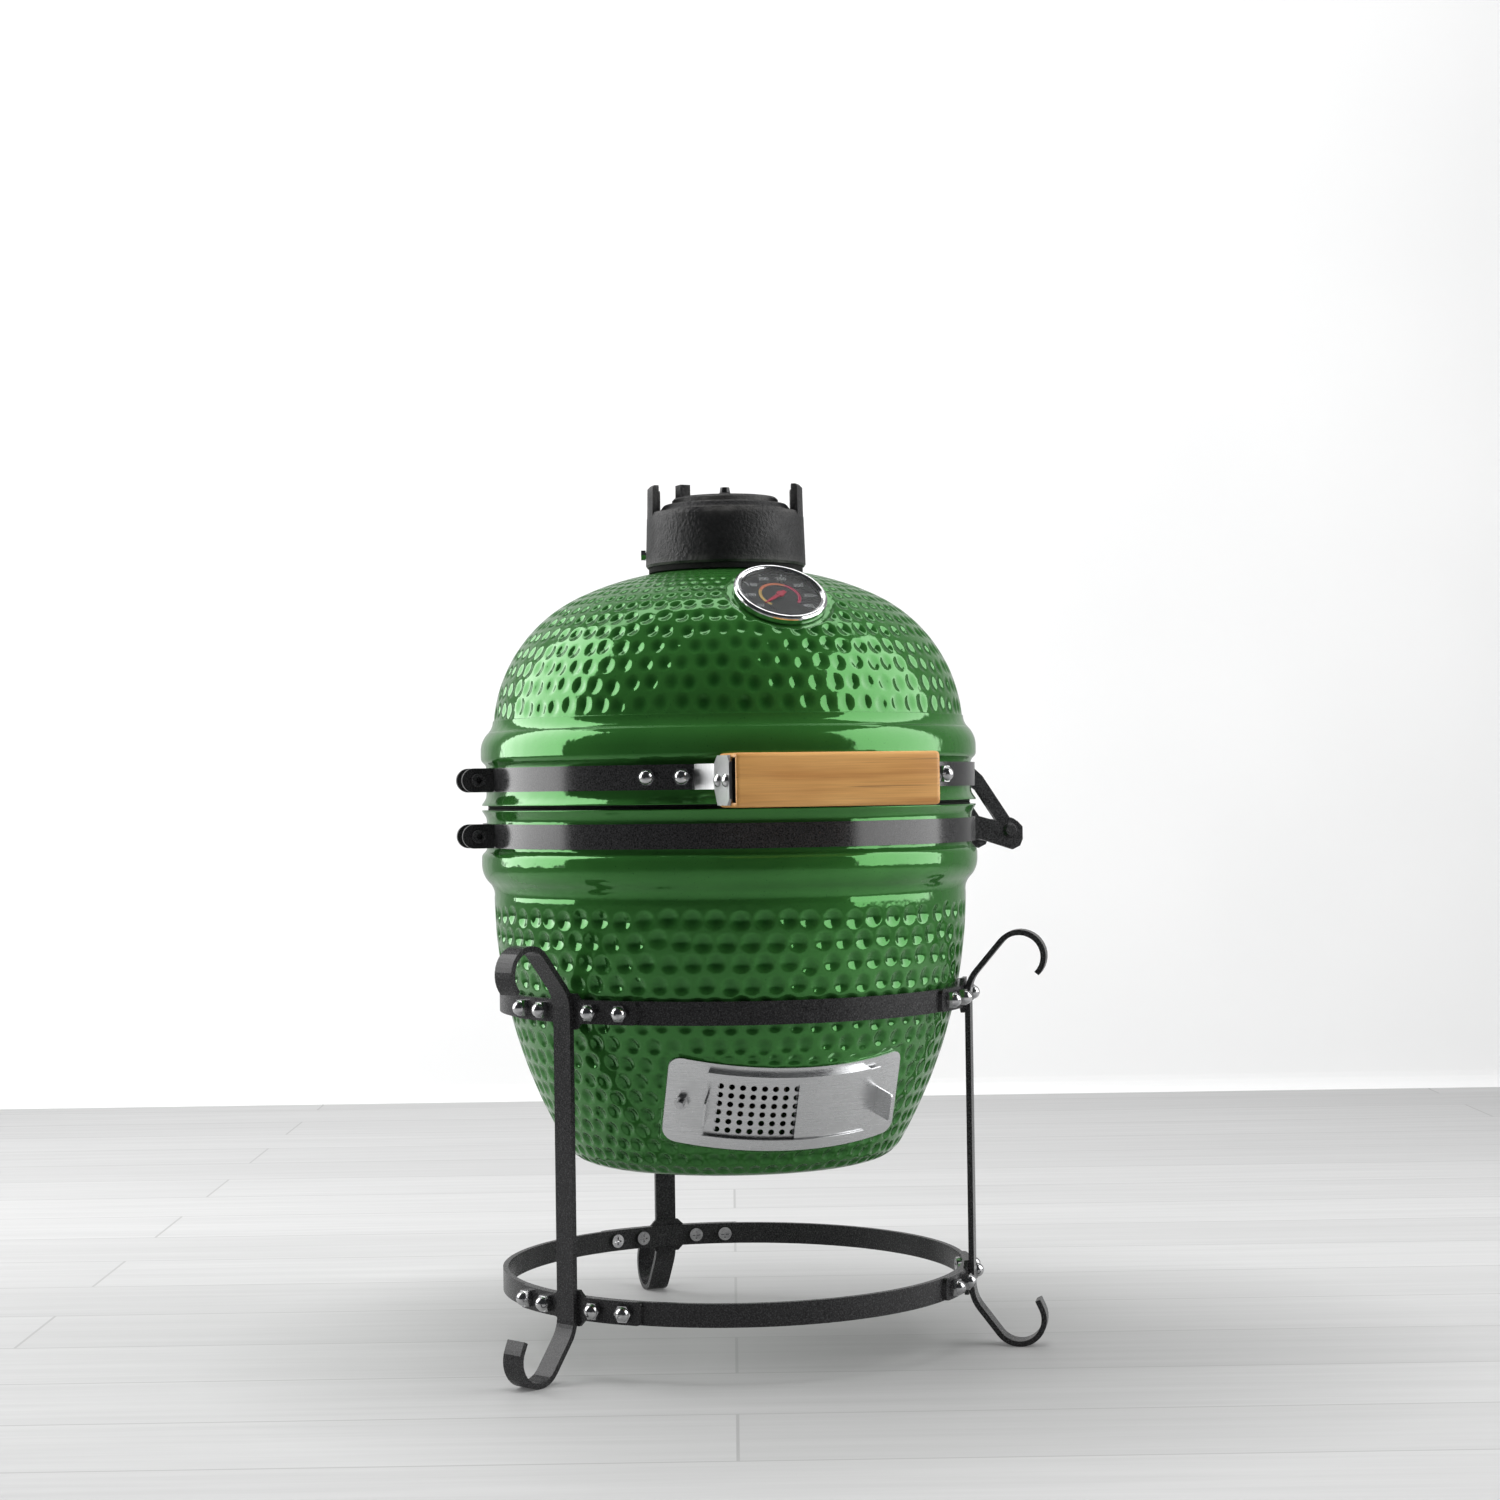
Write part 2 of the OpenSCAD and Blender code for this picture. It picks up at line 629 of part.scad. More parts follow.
module handle_bar() {
    half_h = grip_h / 2;
    e = grip_edge;
    color("#c98b4b") difference() {
        translate([-grip_len / 2, 0, grip_z]) rotate([90, 0, 90]) linear_extrude(grip_len) polygon([
            [-grip_out, -half_h + e], [-grip_out + e, -half_h], [-grip_in - e, -half_h], [-grip_in, -half_h + e],
            [-grip_in, half_h - e], [-grip_in - e, half_h], [-grip_out + e, half_h], [-grip_out, half_h - e]]);
        for (side = [-1, 1]) {
            translate([side * grip_len / 2, -grip_out + 2.5 + slot_d / 2, grip_z])
                cube([5, slot_d, slot_h], center = true);
            for (y = wood_screw_y) translate([side * (grip_len / 2 - 8), -y, grip_z]) rotate([0, 90, 0])
                cylinder(r = wood_screw_r + fit, h = 18, center = true, $fn = 32);
        }
    }
}

// Steel strap that stands off the band and ends in a plate on the handle's end
module left_handle_bracket() {
    strap_h = band_w;
    end_x = -grip_len / 2 - 0.1 - strap_t;
    fold = strap_foot_r * [-sin(fold_a), -cos(fold_a)] + [-1.1, -0.8];
    top = [end_x + strap_t / 2, -grip_in + 2];
    lean = atan2(top[0] - fold[0], fold[1] - top[1]);
    color("#b9bbbe") difference() {
        union() {
            sector(-foot_end_a, -fold_a) translate([strap_foot_r, high_band_z - strap_h / 2]) square([strap_t, strap_h]);
            translate([fold[0], fold[1], high_band_z - strap_h / 2]) {
                cylinder(r = strap_t / 2, h = strap_h, $fn = 24);
                rotate([0, 0, lean]) translate([-strap_t / 2, -norm(top - fold), 0])
                    cube([strap_t, norm(top - fold), strap_h]);
            }
            translate([top[0], top[1], high_band_z - strap_h / 2]) cylinder(r = strap_t / 2, h = strap_h, $fn = 24);
            translate([end_x, 0, grip_z]) rotate([90, 0, 90]) linear_extrude(strap_t) polygon([
                [-grip_in + 2, -band_w / 2 + 2.5], [-grip_in - 4, -end_plate_h / 2],
                [-grip_in - end_plate_d + end_plate_cut, -end_plate_h / 2],
                [-grip_in - end_plate_d, -end_plate_h / 2 + end_plate_cut],
                [-grip_in - end_plate_d, end_plate_h / 2 - end_plate_cut],
                [-grip_in - end_plate_d + end_plate_cut, end_plate_h / 2],
                [-grip_in - 4, end_plate_h / 2], [-grip_in + 2, band_w / 2 + 2.5]]);
        }
        for (a = stud_angles) facing(-a) radial_rod(bolt_r + 0.2, band_or - 1, band_or + 8, high_band_z);
        for (y = wood_screw_y) translate([end_x - 3, -y, grip_z]) rotate([0, 90, 0])
            cylinder(r = wood_screw_r + 0.2, h = 8, $fn = 32);
    }
}

module right_handle_bracket() { mirror([1, 0, 0]) left_handle_bracket(); }

module handle_wood_screws() {
    color("#d5d6d8") for (side = [0, 1]) mirror([side, 0, 0]) for (y = wood_screw_y) {
        translate([-grip_len / 2 - strap_t - 0.2, -y, grip_z]) rotate([0, 90, 0])
            cylinder(r = wood_screw_r, h = 17, $fn = 32);
        intersection() {
            translate([-grip_len / 2 - strap_t + 2.4, -y, grip_z]) sphere(r = 5.4, $fn = 40);
            translate([-grip_len / 2 - strap_t - 5.15, -y, grip_z]) rotate([0, 90, 0])
                cylinder(r = 4, h = 5, $fn = 40);
        }
    }
}

module handle_studs() {
    color("#c9cacc") for (side = [-1, 1], a = stud_angles)
        facing(side * a) radial_rod(bolt_r, band_r + fit, strap_foot_or + 4.5, high_band_z);
}

module handle_cap_nuts() {
    color("#d5d6d8") for (side = [-1, 1], a = stud_angles)
        facing(side * a) translate([0, -strap_foot_or - fit, high_band_z]) rotate([90, 0, 0]) cap_nut();
}

// ---------------------------------------------------------------- draft door

// Rounded rectangle bent round the doors' axis
module bent_sheet(r, t, a0, a1, half_h, corner) {
    mid = (a0 + a1) / 2;
    half_l = (r + t) * sin((a1 - a0) / 2);
    intersection() {
        sector(a0 - 1, a1 + 1) translate([r, -half_h - 1]) square([t, 2 * half_h + 2]);
        facing(mid) translate([0, -r / 3, 0]) rotate([90, 0, 0]) linear_extrude(r) polygon(concat(
            arc([half_l - corner, half_h - corner], corner, 0, 90, 5),
            arc([-half_l + corner, half_h - corner], corner, 90, 180, 5),
            arc([-half_l + corner, -half_h + corner], corner, 180, 270, 5),
            arc([half_l - corner, -half_h + corner], corner, 270, 360, 5)));
    }
}

module vent_frame() {
    lip_out = rail_r + sheet_t;
    color("#c3c5c8") at_vent() difference() {
        union() {
            bent_sheet(vent_r, sheet_t, -vent_left_a, vent_right_a, vent_half_h, frame_corner);
            for (side = [-1, 1]) {
                web = side > 0 ? rail_z + gap : -rail_z - gap - sheet_t;
                lip = side > 0 ? rail_z + gap + sheet_t - rail_lip : -rail_z - gap - sheet_t;
                sector(rail_a[0], rail_a[1]) translate([vent_r + sheet_t / 2, web])
                    square([lip_out - vent_r - sheet_t / 2, sheet_t]);
                sector(rail_a[0], rail_a[1]) translate([rail_r, lip]) square([sheet_t, rail_lip]);
            }
        }
        sector(window_a[0], window_a[1]) translate([vent_r - 5, -window_half_h])
            square([10, 2 * window_half_h]);
        for (a = [stud_a, flush_a]) facing(a) radial_rod(m5_r + 0.1, vent_r - 5, vent_r + 5, 0);
    }
}

module vent_stud() { color("#c9cacc") at_vent() facing(stud_a) radial_rod(m5_r, vent_r - 12, vent_r + 9, 0); }

module vent_nut() {
    color("#d5d6d8") at_vent() facing(stud_a) translate([0, -vent_r - sheet_t - fit, 0]) rotate([90, 0, 0])
        difference() {
            hexagon(m5_af, m5_nut_h);
            translate([0, 0, -1]) cylinder(r = m5_r + fit, h = m5_nut_h + 2, $fn = 32);
        }
}

// Screw that ends flush with the frame's sheet, so that the doors pass over it
module vent_flush_screw() {
    color("#c9cacc") at_vent() facing(flush_a) radial_rod(m5_r, vent_r - 12, vent_r + sheet_t - 0.1, 0);
}

module pull_tab(r, a, lean) {
    facing(a) translate([0, -r - sheet_t + 0.3, 0]) rotate([0, 0, lean]) translate([-sheet_t / 2, 0, 0])
        rotate([90, 0, 90]) linear_extrude(sheet_t) polygon(concat(
            [[0, -tab_half_h], [0, tab_half_h]],
            arc([-tab_reach + tab_corner, tab_half_h - tab_corner], tab_corner, 90, 180, 4),
            arc([-tab_reach + tab_corner, -tab_half_h + tab_corner], tab_corner, 180, 270, 4)));
}

module screen_door() {
    color("#c9cbce") at_vent() difference() {
        union() {
            sector(screen_a[0], screen_a[1]) translate([screen_r, -rail_z]) square([sheet_t, 2 * rail_z]);
            pull_tab(screen_r, screen_a[0] + 0.3, -2);
        }
        for (col = [0:screen_cols - 1], row = [0:screen_rows - 1])
            facing(hole_first_a + col * hole_pitch_a)
                radial_rod(screen_hole_r, screen_r - 2, screen_r + 4, (row - (screen_rows - 1) / 2) * hole_pitch_z, 20);
    }
}

module draft_door() {
    color("#c9cbce") at_vent() {
        sector(draft_a[0], draft_a[1]) translate([draft_r, -rail_z]) square([sheet_t, 2 * rail_z]);
        pull_tab(draft_r, draft_a[1] - 0.3, 0);
    }
}

// ---------------------------------------------------------------- thermometer

module at_gauge() { translate([0, -gauge_at[0], gauge_at[1]]) rotate([gauge_lean, 0, 0]) children(); }

module thermometer_case() {
    color("#8f9194") at_gauge() difference() {
        translate([0, 0, 0.2]) cylinder(r = case_r, h = glass_z - 0.2 - fit, $fn = 64);
        translate([0, 0, 1]) cylinder(r = case_r - 1, h = glass_z, $fn = 64);
        translate([0, 0, -1]) cylinder(r = stem_r + fit, h = 5, $fn = 40);
    }
}

module thermometer_bezel() {
    color("#d8d9db") at_gauge() rotate_extrude($fn = 72) polygon(concat(
        [[case_r + fit, 0.2], [bezel_r - 0.6, 0.2], [bezel_r, 1]],
        arc([bezel_r - 2.2, bezel_top - 2.2], 2.2, 0, 120, 6),
        [[case_r - 2, glass_z + 0.9], [case_r + fit, glass_z + 0.9]]));
}

module thermometer_dial() {
    color("#232325") at_gauge() difference() {
        translate([0, 0, dial_z - 0.5]) cylinder(r = case_r - 1.1, h = 0.5, $fn = 64);
        translate([0, 0, dial_z - 1]) cylinder(r = 0.8, h = 3, $fn = 24);
    }
}

module thermometer_glass() {
    color("#d9e4e6", 0.3) at_gauge() translate([0, 0, glass_z]) cylinder(r = case_r - fit, h = 0.8, $fn = 64);
}

// Pointer on its own thin spindle; it rests cold, down and to the left
module thermometer_needle() {
    color("#c8323a") at_gauge() {
        translate([0, 0, dial_z - 0.7]) cylinder(r = 0.75, h = 2, $fn = 24);
        translate([0, 0, dial_z + 0.9]) cylinder(r = 2.6, h = 0.9, $fn = 32);
        rotate([0, 0, needle_rest_a]) translate([0, 0, dial_z + 1]) linear_extrude(0.6)
            polygon([[-1.5, -5], [1.5, -5], [1.1, 9], [0.2, 16], [-0.2, 16], [-1.1, 9]]);
    }
}

module thermometer_stem() {
    color("#c9cacc") at_gauge() difference() {
        translate([0, 0, -stem_len]) cylinder(r = stem_r, h = stem_len + dial_z - 0.7, $fn = 40);
        translate([0, 0, 0.5]) cylinder(r = 1.2, h = 2, $fn = 24);
    }
}

module thermometer_nut() {
    color("#c9cacc") at_gauge() translate([0, 0, gauge_nut_z]) difference() {
        hexagon(14, 4);
        translate([0, 0, -1]) cylinder(r = stem_r + fit, h = 6, $fn = 40);
    }
}

// ---------------------------------------------------------------- chimney

module cap_gasket() { color("#2a2b2b") ring(neck_r + gap, cap_r - 2, cap_foot_z - 3.6, cap_foot_z - 0.1); }

module chimney_cap() {
    top_r = cap_r - cap_lean;
    color("#232324") difference() {
        union() {
            rotate_extrude($fn = 120) polygon([
                [cap_bore_r, cap_foot_z], [cap_r - 1, cap_foot_z], [cap_r, cap_foot_z + 1.5],
                [top_r, cap_top_z - 3], [top_r - 1.2, cap_top_z], [cap_recess_r, cap_top_z],
                [cap_recess_r, cap_recess_z], [flue_r, cap_recess_z], [flue_r, cap_shelf_z], [cap_bore_r, cap_shelf_z]]);
            for (a = lug_angles) sector(a - lug_half_a, a + lug_half_a) polygon([
                [top_r - 0.2 - lug_t, cap_top_z - 2], [top_r - 0.2, cap_top_z - 3],
                [top_r - 0.6, cap_top_z + lug_h - 1.5], [top_r - 2, cap_top_z + lug_h],
                [top_r - lug_t, cap_top_z + lug_h], [top_r - 0.2 - lug_t, cap_top_z + lug_h - 1.5]]);
        }
        facing(lug_angles[0]) radial_rod(m5_r + fit, cap_bore_r - 3, cap_r + 5, cap_foot_z + 9);
    }
}

module cap_set_screw() {
    color("#d5d6d8") facing(lug_angles[0]) {
        radial_rod(m5_r, neck_r + 0.2, cap_r + 0.5, cap_foot_z + 9);
        translate([0, -cap_r - 0.1, cap_foot_z + 9]) rotate([90, 0, 0]) hexagon(6.4, 3);
    }
}

// Openings of both chimney discs, in a circle
module petal_holes(z, h, turn) {
    for (i = [0:petals - 1]) rotate([0, 0, turn + i * 360 / petals])
        translate([0, petal_at_r, z]) cylinder(r = petal_hole_r, h = h, $fn = 32);
}

module chimney_plate() {
    color("#262627") difference() {
        rotate_extrude($fn = 96) polygon([
            [0, cap_recess_z + 0.1], [plate_r, cap_recess_z + 0.1], [plate_r, cap_top_z + 1],
            [plate_step_r, plate_top_z - 1], [plate_step_r - 1, plate_top_z], [0, plate_top_z]]);
        petal_holes(cap_recess_z - 1, 15, 180 / petals);
        translate([0, 0, cap_recess_z - 1]) cylinder(r = daisy_pin_r + fit, h = 15, $fn = 32);
    }
}

// Turning disc with a thumb tab near its edge
module daisy_wheel() {
    top = wheel_z + wheel_t;
    color("#262627") difference() {
        union() {
            rotate_extrude($fn = 96) polygon([
                [0, wheel_z], [wheel_r, wheel_z], [wheel_r, top - 1.5], [wheel_r - 1.5, top],
                [9, top], [3.5, top + 4], [0, top + 4]]);
            facing(-85) translate([-4.5, -34, top - 1]) cube([9, 7, 9]);
        }
        petal_holes(wheel_z - 1, 10, 0);
        translate([0, 0, wheel_z - 1]) cylinder(r = daisy_pin_r + fit, h = 15, $fn = 32);
    }
}

module daisy_screw() {
    top = wheel_z + wheel_t + 4 + fit;
    color("#3a3a3b") {
        translate([0, 0, cap_recess_z - 3]) cylinder(r = daisy_pin_r, h = top - cap_recess_z + 3.5, $fn = 32);
        translate([0, 0, top]) cylinder(r1 = 3.6, r2 = 3, h = 3.5, $fn = 32);
        translate([0, 0, cap_recess_z - 4]) cylinder(r = 4.5, h = 4 - fit, $fn = 32);
    }
}

lower_ring();
upper_ring();
front_left_leg();
front_right_leg();
back_leg();
lower_leg_plates();
upper_leg_plates();
lower_ring_screws();
upper_ring_screws();
ring_cap_nuts();
ceramic_base();
base_gasket();
fire_box();
fire_ring();
charcoal_grate();
cooking_grate();
lower_band();
lower_band_screw();
lower_band_nut();
hinge_base();
hinge_pin();
hinge_nut();
vent_frame();
vent_stud();
vent_nut();
vent_flush_screw();
screen_door();
draft_door();
ceramic_dome();
dome_gasket();
upper_band();
upper_band_screw();
upper_band_nut();
hinge_arms();
hinge_tube();
handle_bar();
left_handle_bracket();
right_handle_bracket();
handle_wood_screws();
handle_studs();
handle_cap_nuts();
thermometer_case();
thermometer_bezel();
thermometer_dial();
thermometer_glass();
thermometer_needle();
thermometer_stem();
thermometer_nut();
cap_gasket();
chimney_cap();
cap_set_screw();
chimney_plate();
daisy_wheel();
daisy_screw();
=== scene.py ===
"""Looks of a small ceramic charcoal grill on a three-legged ring stand.

The CAD frame gives every metal part its place. This script adds the glazed and
dimpled ceramic, the wooden grip and the dial's markings, and gives each part a
finish. Lengths are in metres, unless a name ends in _MM.
"""

import math

import bmesh
import bpy
import numpy as np
from mathutils import Matrix, Vector


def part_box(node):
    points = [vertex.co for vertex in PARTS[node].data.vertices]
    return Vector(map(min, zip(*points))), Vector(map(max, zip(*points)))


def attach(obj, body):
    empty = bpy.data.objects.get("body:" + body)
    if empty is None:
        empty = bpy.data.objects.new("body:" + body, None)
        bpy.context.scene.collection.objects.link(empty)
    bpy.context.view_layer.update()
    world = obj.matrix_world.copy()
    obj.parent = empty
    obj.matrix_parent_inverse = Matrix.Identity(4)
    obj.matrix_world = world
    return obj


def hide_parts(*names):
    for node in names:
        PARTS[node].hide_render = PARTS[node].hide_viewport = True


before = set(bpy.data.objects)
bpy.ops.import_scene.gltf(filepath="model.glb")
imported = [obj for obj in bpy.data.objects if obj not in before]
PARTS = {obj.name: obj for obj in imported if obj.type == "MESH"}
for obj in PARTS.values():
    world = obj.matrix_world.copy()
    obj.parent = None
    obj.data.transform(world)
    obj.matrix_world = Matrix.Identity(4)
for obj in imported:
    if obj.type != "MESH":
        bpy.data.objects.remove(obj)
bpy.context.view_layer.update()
MM = 0.001

# ------------------------------------------------------------------ ceramic sizes
SEAM_MM = 355.5
BASE_Z_MM = 121.0
WALL_MM = 18.0
RIM_R_MM = 165.0
BODY_ARC_MM = (-177.0, 300.0, 334.0)      # centre r, centre z and radius of the base's side
SHOULDER_MM = (57.0, 404.0, 99.5)         # the same for the dome's shoulder
SHOULDER_END = 64.8                       # degrees, where the shoulder turns into the crown
CROWN_R_MM = 190.0
NECK_R_MM = 46.0
NECK_TOP_MM = 527.0
MOUTH_R_MM = 141.0

VENT_Z = 0.2153                           # the draft door's own tilted frame
VENT_TILT = math.radians(20.5)
GAUGE_LEAN = math.radians(38.5)
GAUGE_FACE_MM = (109.5, 491.0)
BEZEL_TOP_MM = 6.2

to_vent = Matrix.Translation((0, 0, VENT_Z)) @ Matrix.Rotation(VENT_TILT, 4, "X")
gauge_origin = Vector((0, -GAUGE_FACE_MM[0] + BEZEL_TOP_MM * math.sin(GAUGE_LEAN),
                       GAUGE_FACE_MM[1] - BEZEL_TOP_MM * math.cos(GAUGE_LEAN))) * MM
to_gauge = Matrix.Translation(gauge_origin) @ Matrix.Rotation(GAUGE_LEAN, 4, "X")


# ------------------------------------------------------------------ shader helpers
def add(tree, kind, values=None, **settings):
    """A new node; values fills its inputs with numbers or joins sockets to them."""
    node = tree.nodes.new("ShaderNode" + kind)
    for key, value in settings.items():
        setattr(node, key, value)
    for key, value in (values or {}).items():
        if isinstance(value, bpy.types.NodeSocket):
            tree.links.new(value, node.inputs[key])
        else:
            node.inputs[key].default_value = value
    return node


def math_node(tree, operation, a, b=0.0, clamp=False):
    return add(tree, "Math", {0: a, 1: b}, operation=operation, use_clamp=clamp).outputs[0]


def blend_colours(tree, factor, a, b, how="MIX"):
    node = add(tree, "Mix", {0: factor, 6: a, 7: b}, data_type="RGBA", blend_type=how)
    return node.outputs[2]


def span(tree, value, low, high, to_low=0.0, to_high=1.0):
    return add(tree, "MapRange", {0: value, 1: low, 2: high, 3: to_low, 4: to_high}).outputs[0]


def object_place(tree, stretch=(1, 1, 1)):
    coordinate = add(tree, "TexCoord").outputs["Object"]
    return add(tree, "Mapping", {0: coordinate, 3: stretch}).outputs[0]


def new_group(name, inputs, outputs):
    """An empty shader node group with its named sockets; returns tree, inputs and output node."""
    tree = bpy.data.node_groups.new(name, "ShaderNodeTree")
    for label, kind, default in inputs:
        socket = tree.interface.new_socket(label, in_out="INPUT", socket_type="NodeSocket" + kind)
        if default is not None:
            socket.default_value = default
    for label, kind in outputs:
        tree.interface.new_socket(label, in_out="OUTPUT", socket_type="NodeSocket" + kind)
    return tree, tree.nodes.new("NodeGroupInput").outputs, tree.nodes.new("NodeGroupOutput").inputs


def place(tree, group, values=None):
    node = add(tree, "Group", node_tree=group)
    for key, value in (values or {}).items():
        if isinstance(value, bpy.types.NodeSocket):
            tree.links.new(value, node.inputs[key])
        else:
            node.inputs[key].default_value = value
    return node.outputs


# ------------------------------------------------------------------ shared effects
def make_grit():
    """Fine even roughness of cast, coated and fired surfaces, with soft larger patches."""
    tree, given, result = new_group("Grit and patches", [
        ("Grain size", "Float", 0.001), ("Patch size", "Float", 0.05)],
        [("Grain", "Float"), ("Patches", "Float")])
    place_ = object_place(tree)
    fine = add(tree, "TexNoise", {0: place_, "Scale": math_node(tree, "DIVIDE", 1.0, given["Grain size"]),
                                  "Detail": 3.0, "Roughness": 0.6}).outputs[0]
    wide = add(tree, "TexNoise", {0: place_, "Scale": math_node(tree, "DIVIDE", 1.0, given["Patch size"]),
                                  "Detail": 2.0}).outputs[0]
    tree.links.new(span(tree, fine, 0.3, 0.7), result["Grain"])
    tree.links.new(span(tree, wide, 0.35, 0.65), result["Patches"])
    return tree


def make_brushing():
    """Long thin scratches round the body and up it, as left by a belt on sheet steel."""
    tree, given, result = new_group("Belt brushing", [
        ("Stretch", "Vector", (60.0, 60.0, 2600.0)), ("Depth", "Float", 1.0)],
        [("Lines", "Float"), ("Smears", "Float")])
    coordinate = add(tree, "TexCoord").outputs["Object"]
    along = add(tree, "Mapping", {0: coordinate, 3: given["Stretch"]}).outputs[0]
    lines = add(tree, "TexNoise", {0: along, "Scale": 1.0, "Detail": 4.0, "Roughness": 0.7}).outputs[0]
    smears = add(tree, "TexNoise", {0: coordinate, "Scale": 45.0, "Detail": 3.0}).outputs[0]
    tree.links.new(math_node(tree, "MULTIPLY", span(tree, lines, 0.25, 0.75), given["Depth"]), result["Lines"])
    tree.links.new(span(tree, smears, 0.35, 0.7), result["Smears"])
    return tree


def make_edge_wear_and_highlight():
    """Mask of sharp outer edges, from how far a surface point sticks out; the finishes lighten these edges as wear and
    as a painted edge highlight.
    """
    tree, given, result = new_group("Edge wear and painted highlight", [("Grain", "Float", 0.5), ("Reach", "Float", 0.06)],
                                    [("Mask", "Float")])
    out = add(tree, "NewGeometry").outputs["Pointiness"]
    start = math_node(tree, "ADD", given["Reach"], 0.5)
    raw = add(tree, "MapRange", {0: out, 1: start, 2: math_node(tree, "ADD", start, 0.04), 3: 0.0, 4: 1.0})
    tree.links.new(math_node(tree, "MULTIPLY", raw.outputs[0], given["Grain"], True), result["Mask"])
    return tree


GRIT = make_grit()
BRUSHING = make_brushing()
EDGE_WEAR_AND_HIGHLIGHT = make_edge_wear_and_highlight()


# ------------------------------------------------------------------ finishes
def start_finish(name, **sockets):
    """A material with a Principled shader, and its plain values set on the shader itself."""
    material = bpy.data.materials.new(name)
    material.use_nodes = True
    tree = material.node_tree
    shader = tree.nodes["Principled BSDF"]
    for key, value in sockets.items():
        shader.inputs[key.replace("_", " ")].default_value = value
    return material, tree, shader


def join(tree, shader, colour=None, roughness=None, height=None, strength=0.3, distance=0.0005, **more):
    """Joins colours and masks to a shader, and a height through a Bump node."""
    for name, socket in (("Base Color", colour), ("Roughness", roughness)):
        if socket is not None:
            tree.links.new(socket, shader.inputs[name])
    for name, socket in more.items():
        tree.links.new(socket, shader.inputs[name.replace("_", " ")])
    if height is not None:
        bump = add(tree, "Bump", {"Height": height, "Strength": strength, "Distance": distance})
        tree.links.new(bump.outputs[0], shader.inputs["Normal"])


def green_glaze():
    """Glassy green glaze: pale where it thins on ridges, dark where it pools in dimples."""
    material, tree, shader = start_finish(
        "Green glaze", IOR=1.75, Specular_IOR_Level=0.7, Specular_Tint=(0.34, 1.0, 0.32, 1.0),
        Coat_Weight=0.1, Coat_Roughness=0.03)
    pooled = add(tree, "Attribute", attribute_name="glaze_pool").outputs["Fac"]
    grit = place(tree, GRIT, {"Grain size": 0.0012, "Patch size": 0.035})
    depth = math_node(tree, "ADD", pooled, math_node(tree, "MULTIPLY", grit["Patches"], 0.22), True)
    green = blend_colours(tree, depth, (0.034, 0.145, 0.028, 1), (0.009, 0.062, 0.009, 1))
    specks = span(tree, grit["Grain"], 0.93, 1.0)
    green = blend_colours(tree, specks, green, (0.01, 0.06, 0.014, 1))
    ripple = add(tree, "TexNoise", {0: object_place(tree), "Scale": 95.0, "Detail": 2.0}).outputs[0]
    sheen = span(tree, grit["Patches"], 0.0, 1.0, 0.05, 0.11)
    join(tree, shader, green, sheen, ripple, strength=0.35, distance=0.0008)
    return material


def powder_coat(name, shade, gloss, skin=0.25, shine=0.5):
    """Black powder coat with a fine skin, and edges lightened as rubbed wear and as a painted edge highlight."""
    material, tree, shader = start_finish(name, Specular_IOR_Level=shine)
    grit = place(tree, GRIT, {"Grain size": 0.0009, "Patch size": 0.03})
    edge = place(tree, EDGE_WEAR_AND_HIGHLIGHT, {"Grain": grit["Grain"], "Reach": 0.05})["Mask"]
    black = blend_colours(tree, grit["Patches"], (shade, shade, shade * 1.04, 1), (shade * 1.6, shade * 1.6, shade * 1.7, 1))
    # Lighter edges: partly rubbed coat, partly a painted edge highlight.
    black = blend_colours(tree, edge, black, (0.06, 0.06, 0.062, 1))
    join(tree, shader, black, span(tree, grit["Grain"], 0, 1, gloss, gloss + 0.1), grit["Grain"],
         strength=skin, distance=0.00015)
    return material


def cast_iron():
    """Sand-cast iron under matt black stove paint."""
    material, tree, shader = start_finish("Cast iron", Specular_IOR_Level=0.35)
    grit = place(tree, GRIT, {"Grain size": 0.0021, "Patch size": 0.02})
    edge = place(tree, EDGE_WEAR_AND_HIGHLIGHT, {"Grain": grit["Patches"], "Reach": 0.03})["Mask"]
    iron = blend_colours(tree, grit["Grain"], (0.006, 0.006, 0.0065, 1), (0.016, 0.016, 0.017, 1))
    # Lighter edges: partly worn paint, partly a painted edge highlight.
    iron = blend_colours(tree, edge, iron, (0.09, 0.088, 0.085, 1))
    join(tree, shader, iron, span(tree, grit["Patches"], 0, 1, 0.42, 0.6), grit["Grain"],
         strength=0.55, distance=0.0006)
    return material


def sheet_steel(name, stretch, tone, rough):
    """Brushed stainless sheet with faint handling smears."""
    material, tree, shader = start_finish(name, Metallic=1.0)
    brush = place(tree, BRUSHING, {"Stretch": stretch, "Depth": 1.0})
    steel = blend_colours(tree, brush["Lines"], (tone, tone, tone * 1.01, 1), (tone * 0.78, tone * 0.79, tone * 0.8, 1))
    steel = blend_colours(tree, math_node(tree, "MULTIPLY", brush["Smears"], 0.25), steel, (tone * 0.7, tone * 0.71, tone * 0.7, 1))
    roughness = math_node(tree, "ADD", span(tree, brush["Lines"], 0, 1, rough, rough + 0.1),
                          math_node(tree, "MULTIPLY", brush["Smears"], 0.07))
    join(tree, shader, steel, roughness, brush["Lines"], strength=0.12, distance=0.0001)
    return material


def plated(name, tone, rough):
    """Bright zinc or chrome plating on small turned parts."""
    material, tree, shader = start_finish(name, Metallic=1.0)
    grit = place(tree, GRIT, {"Grain size": 0.0006, "Patch size": 0.004})
    metal = blend_colours(tree, grit["Patches"], (tone, tone, tone, 1), (tone * 0.72, tone * 0.72, tone * 0.74, 1))
    join(tree, shader, metal, span(tree, grit["Grain"], 0, 1, rough, rough + 0.1), grit["Grain"],
         strength=0.08, distance=0.0001)
    return material


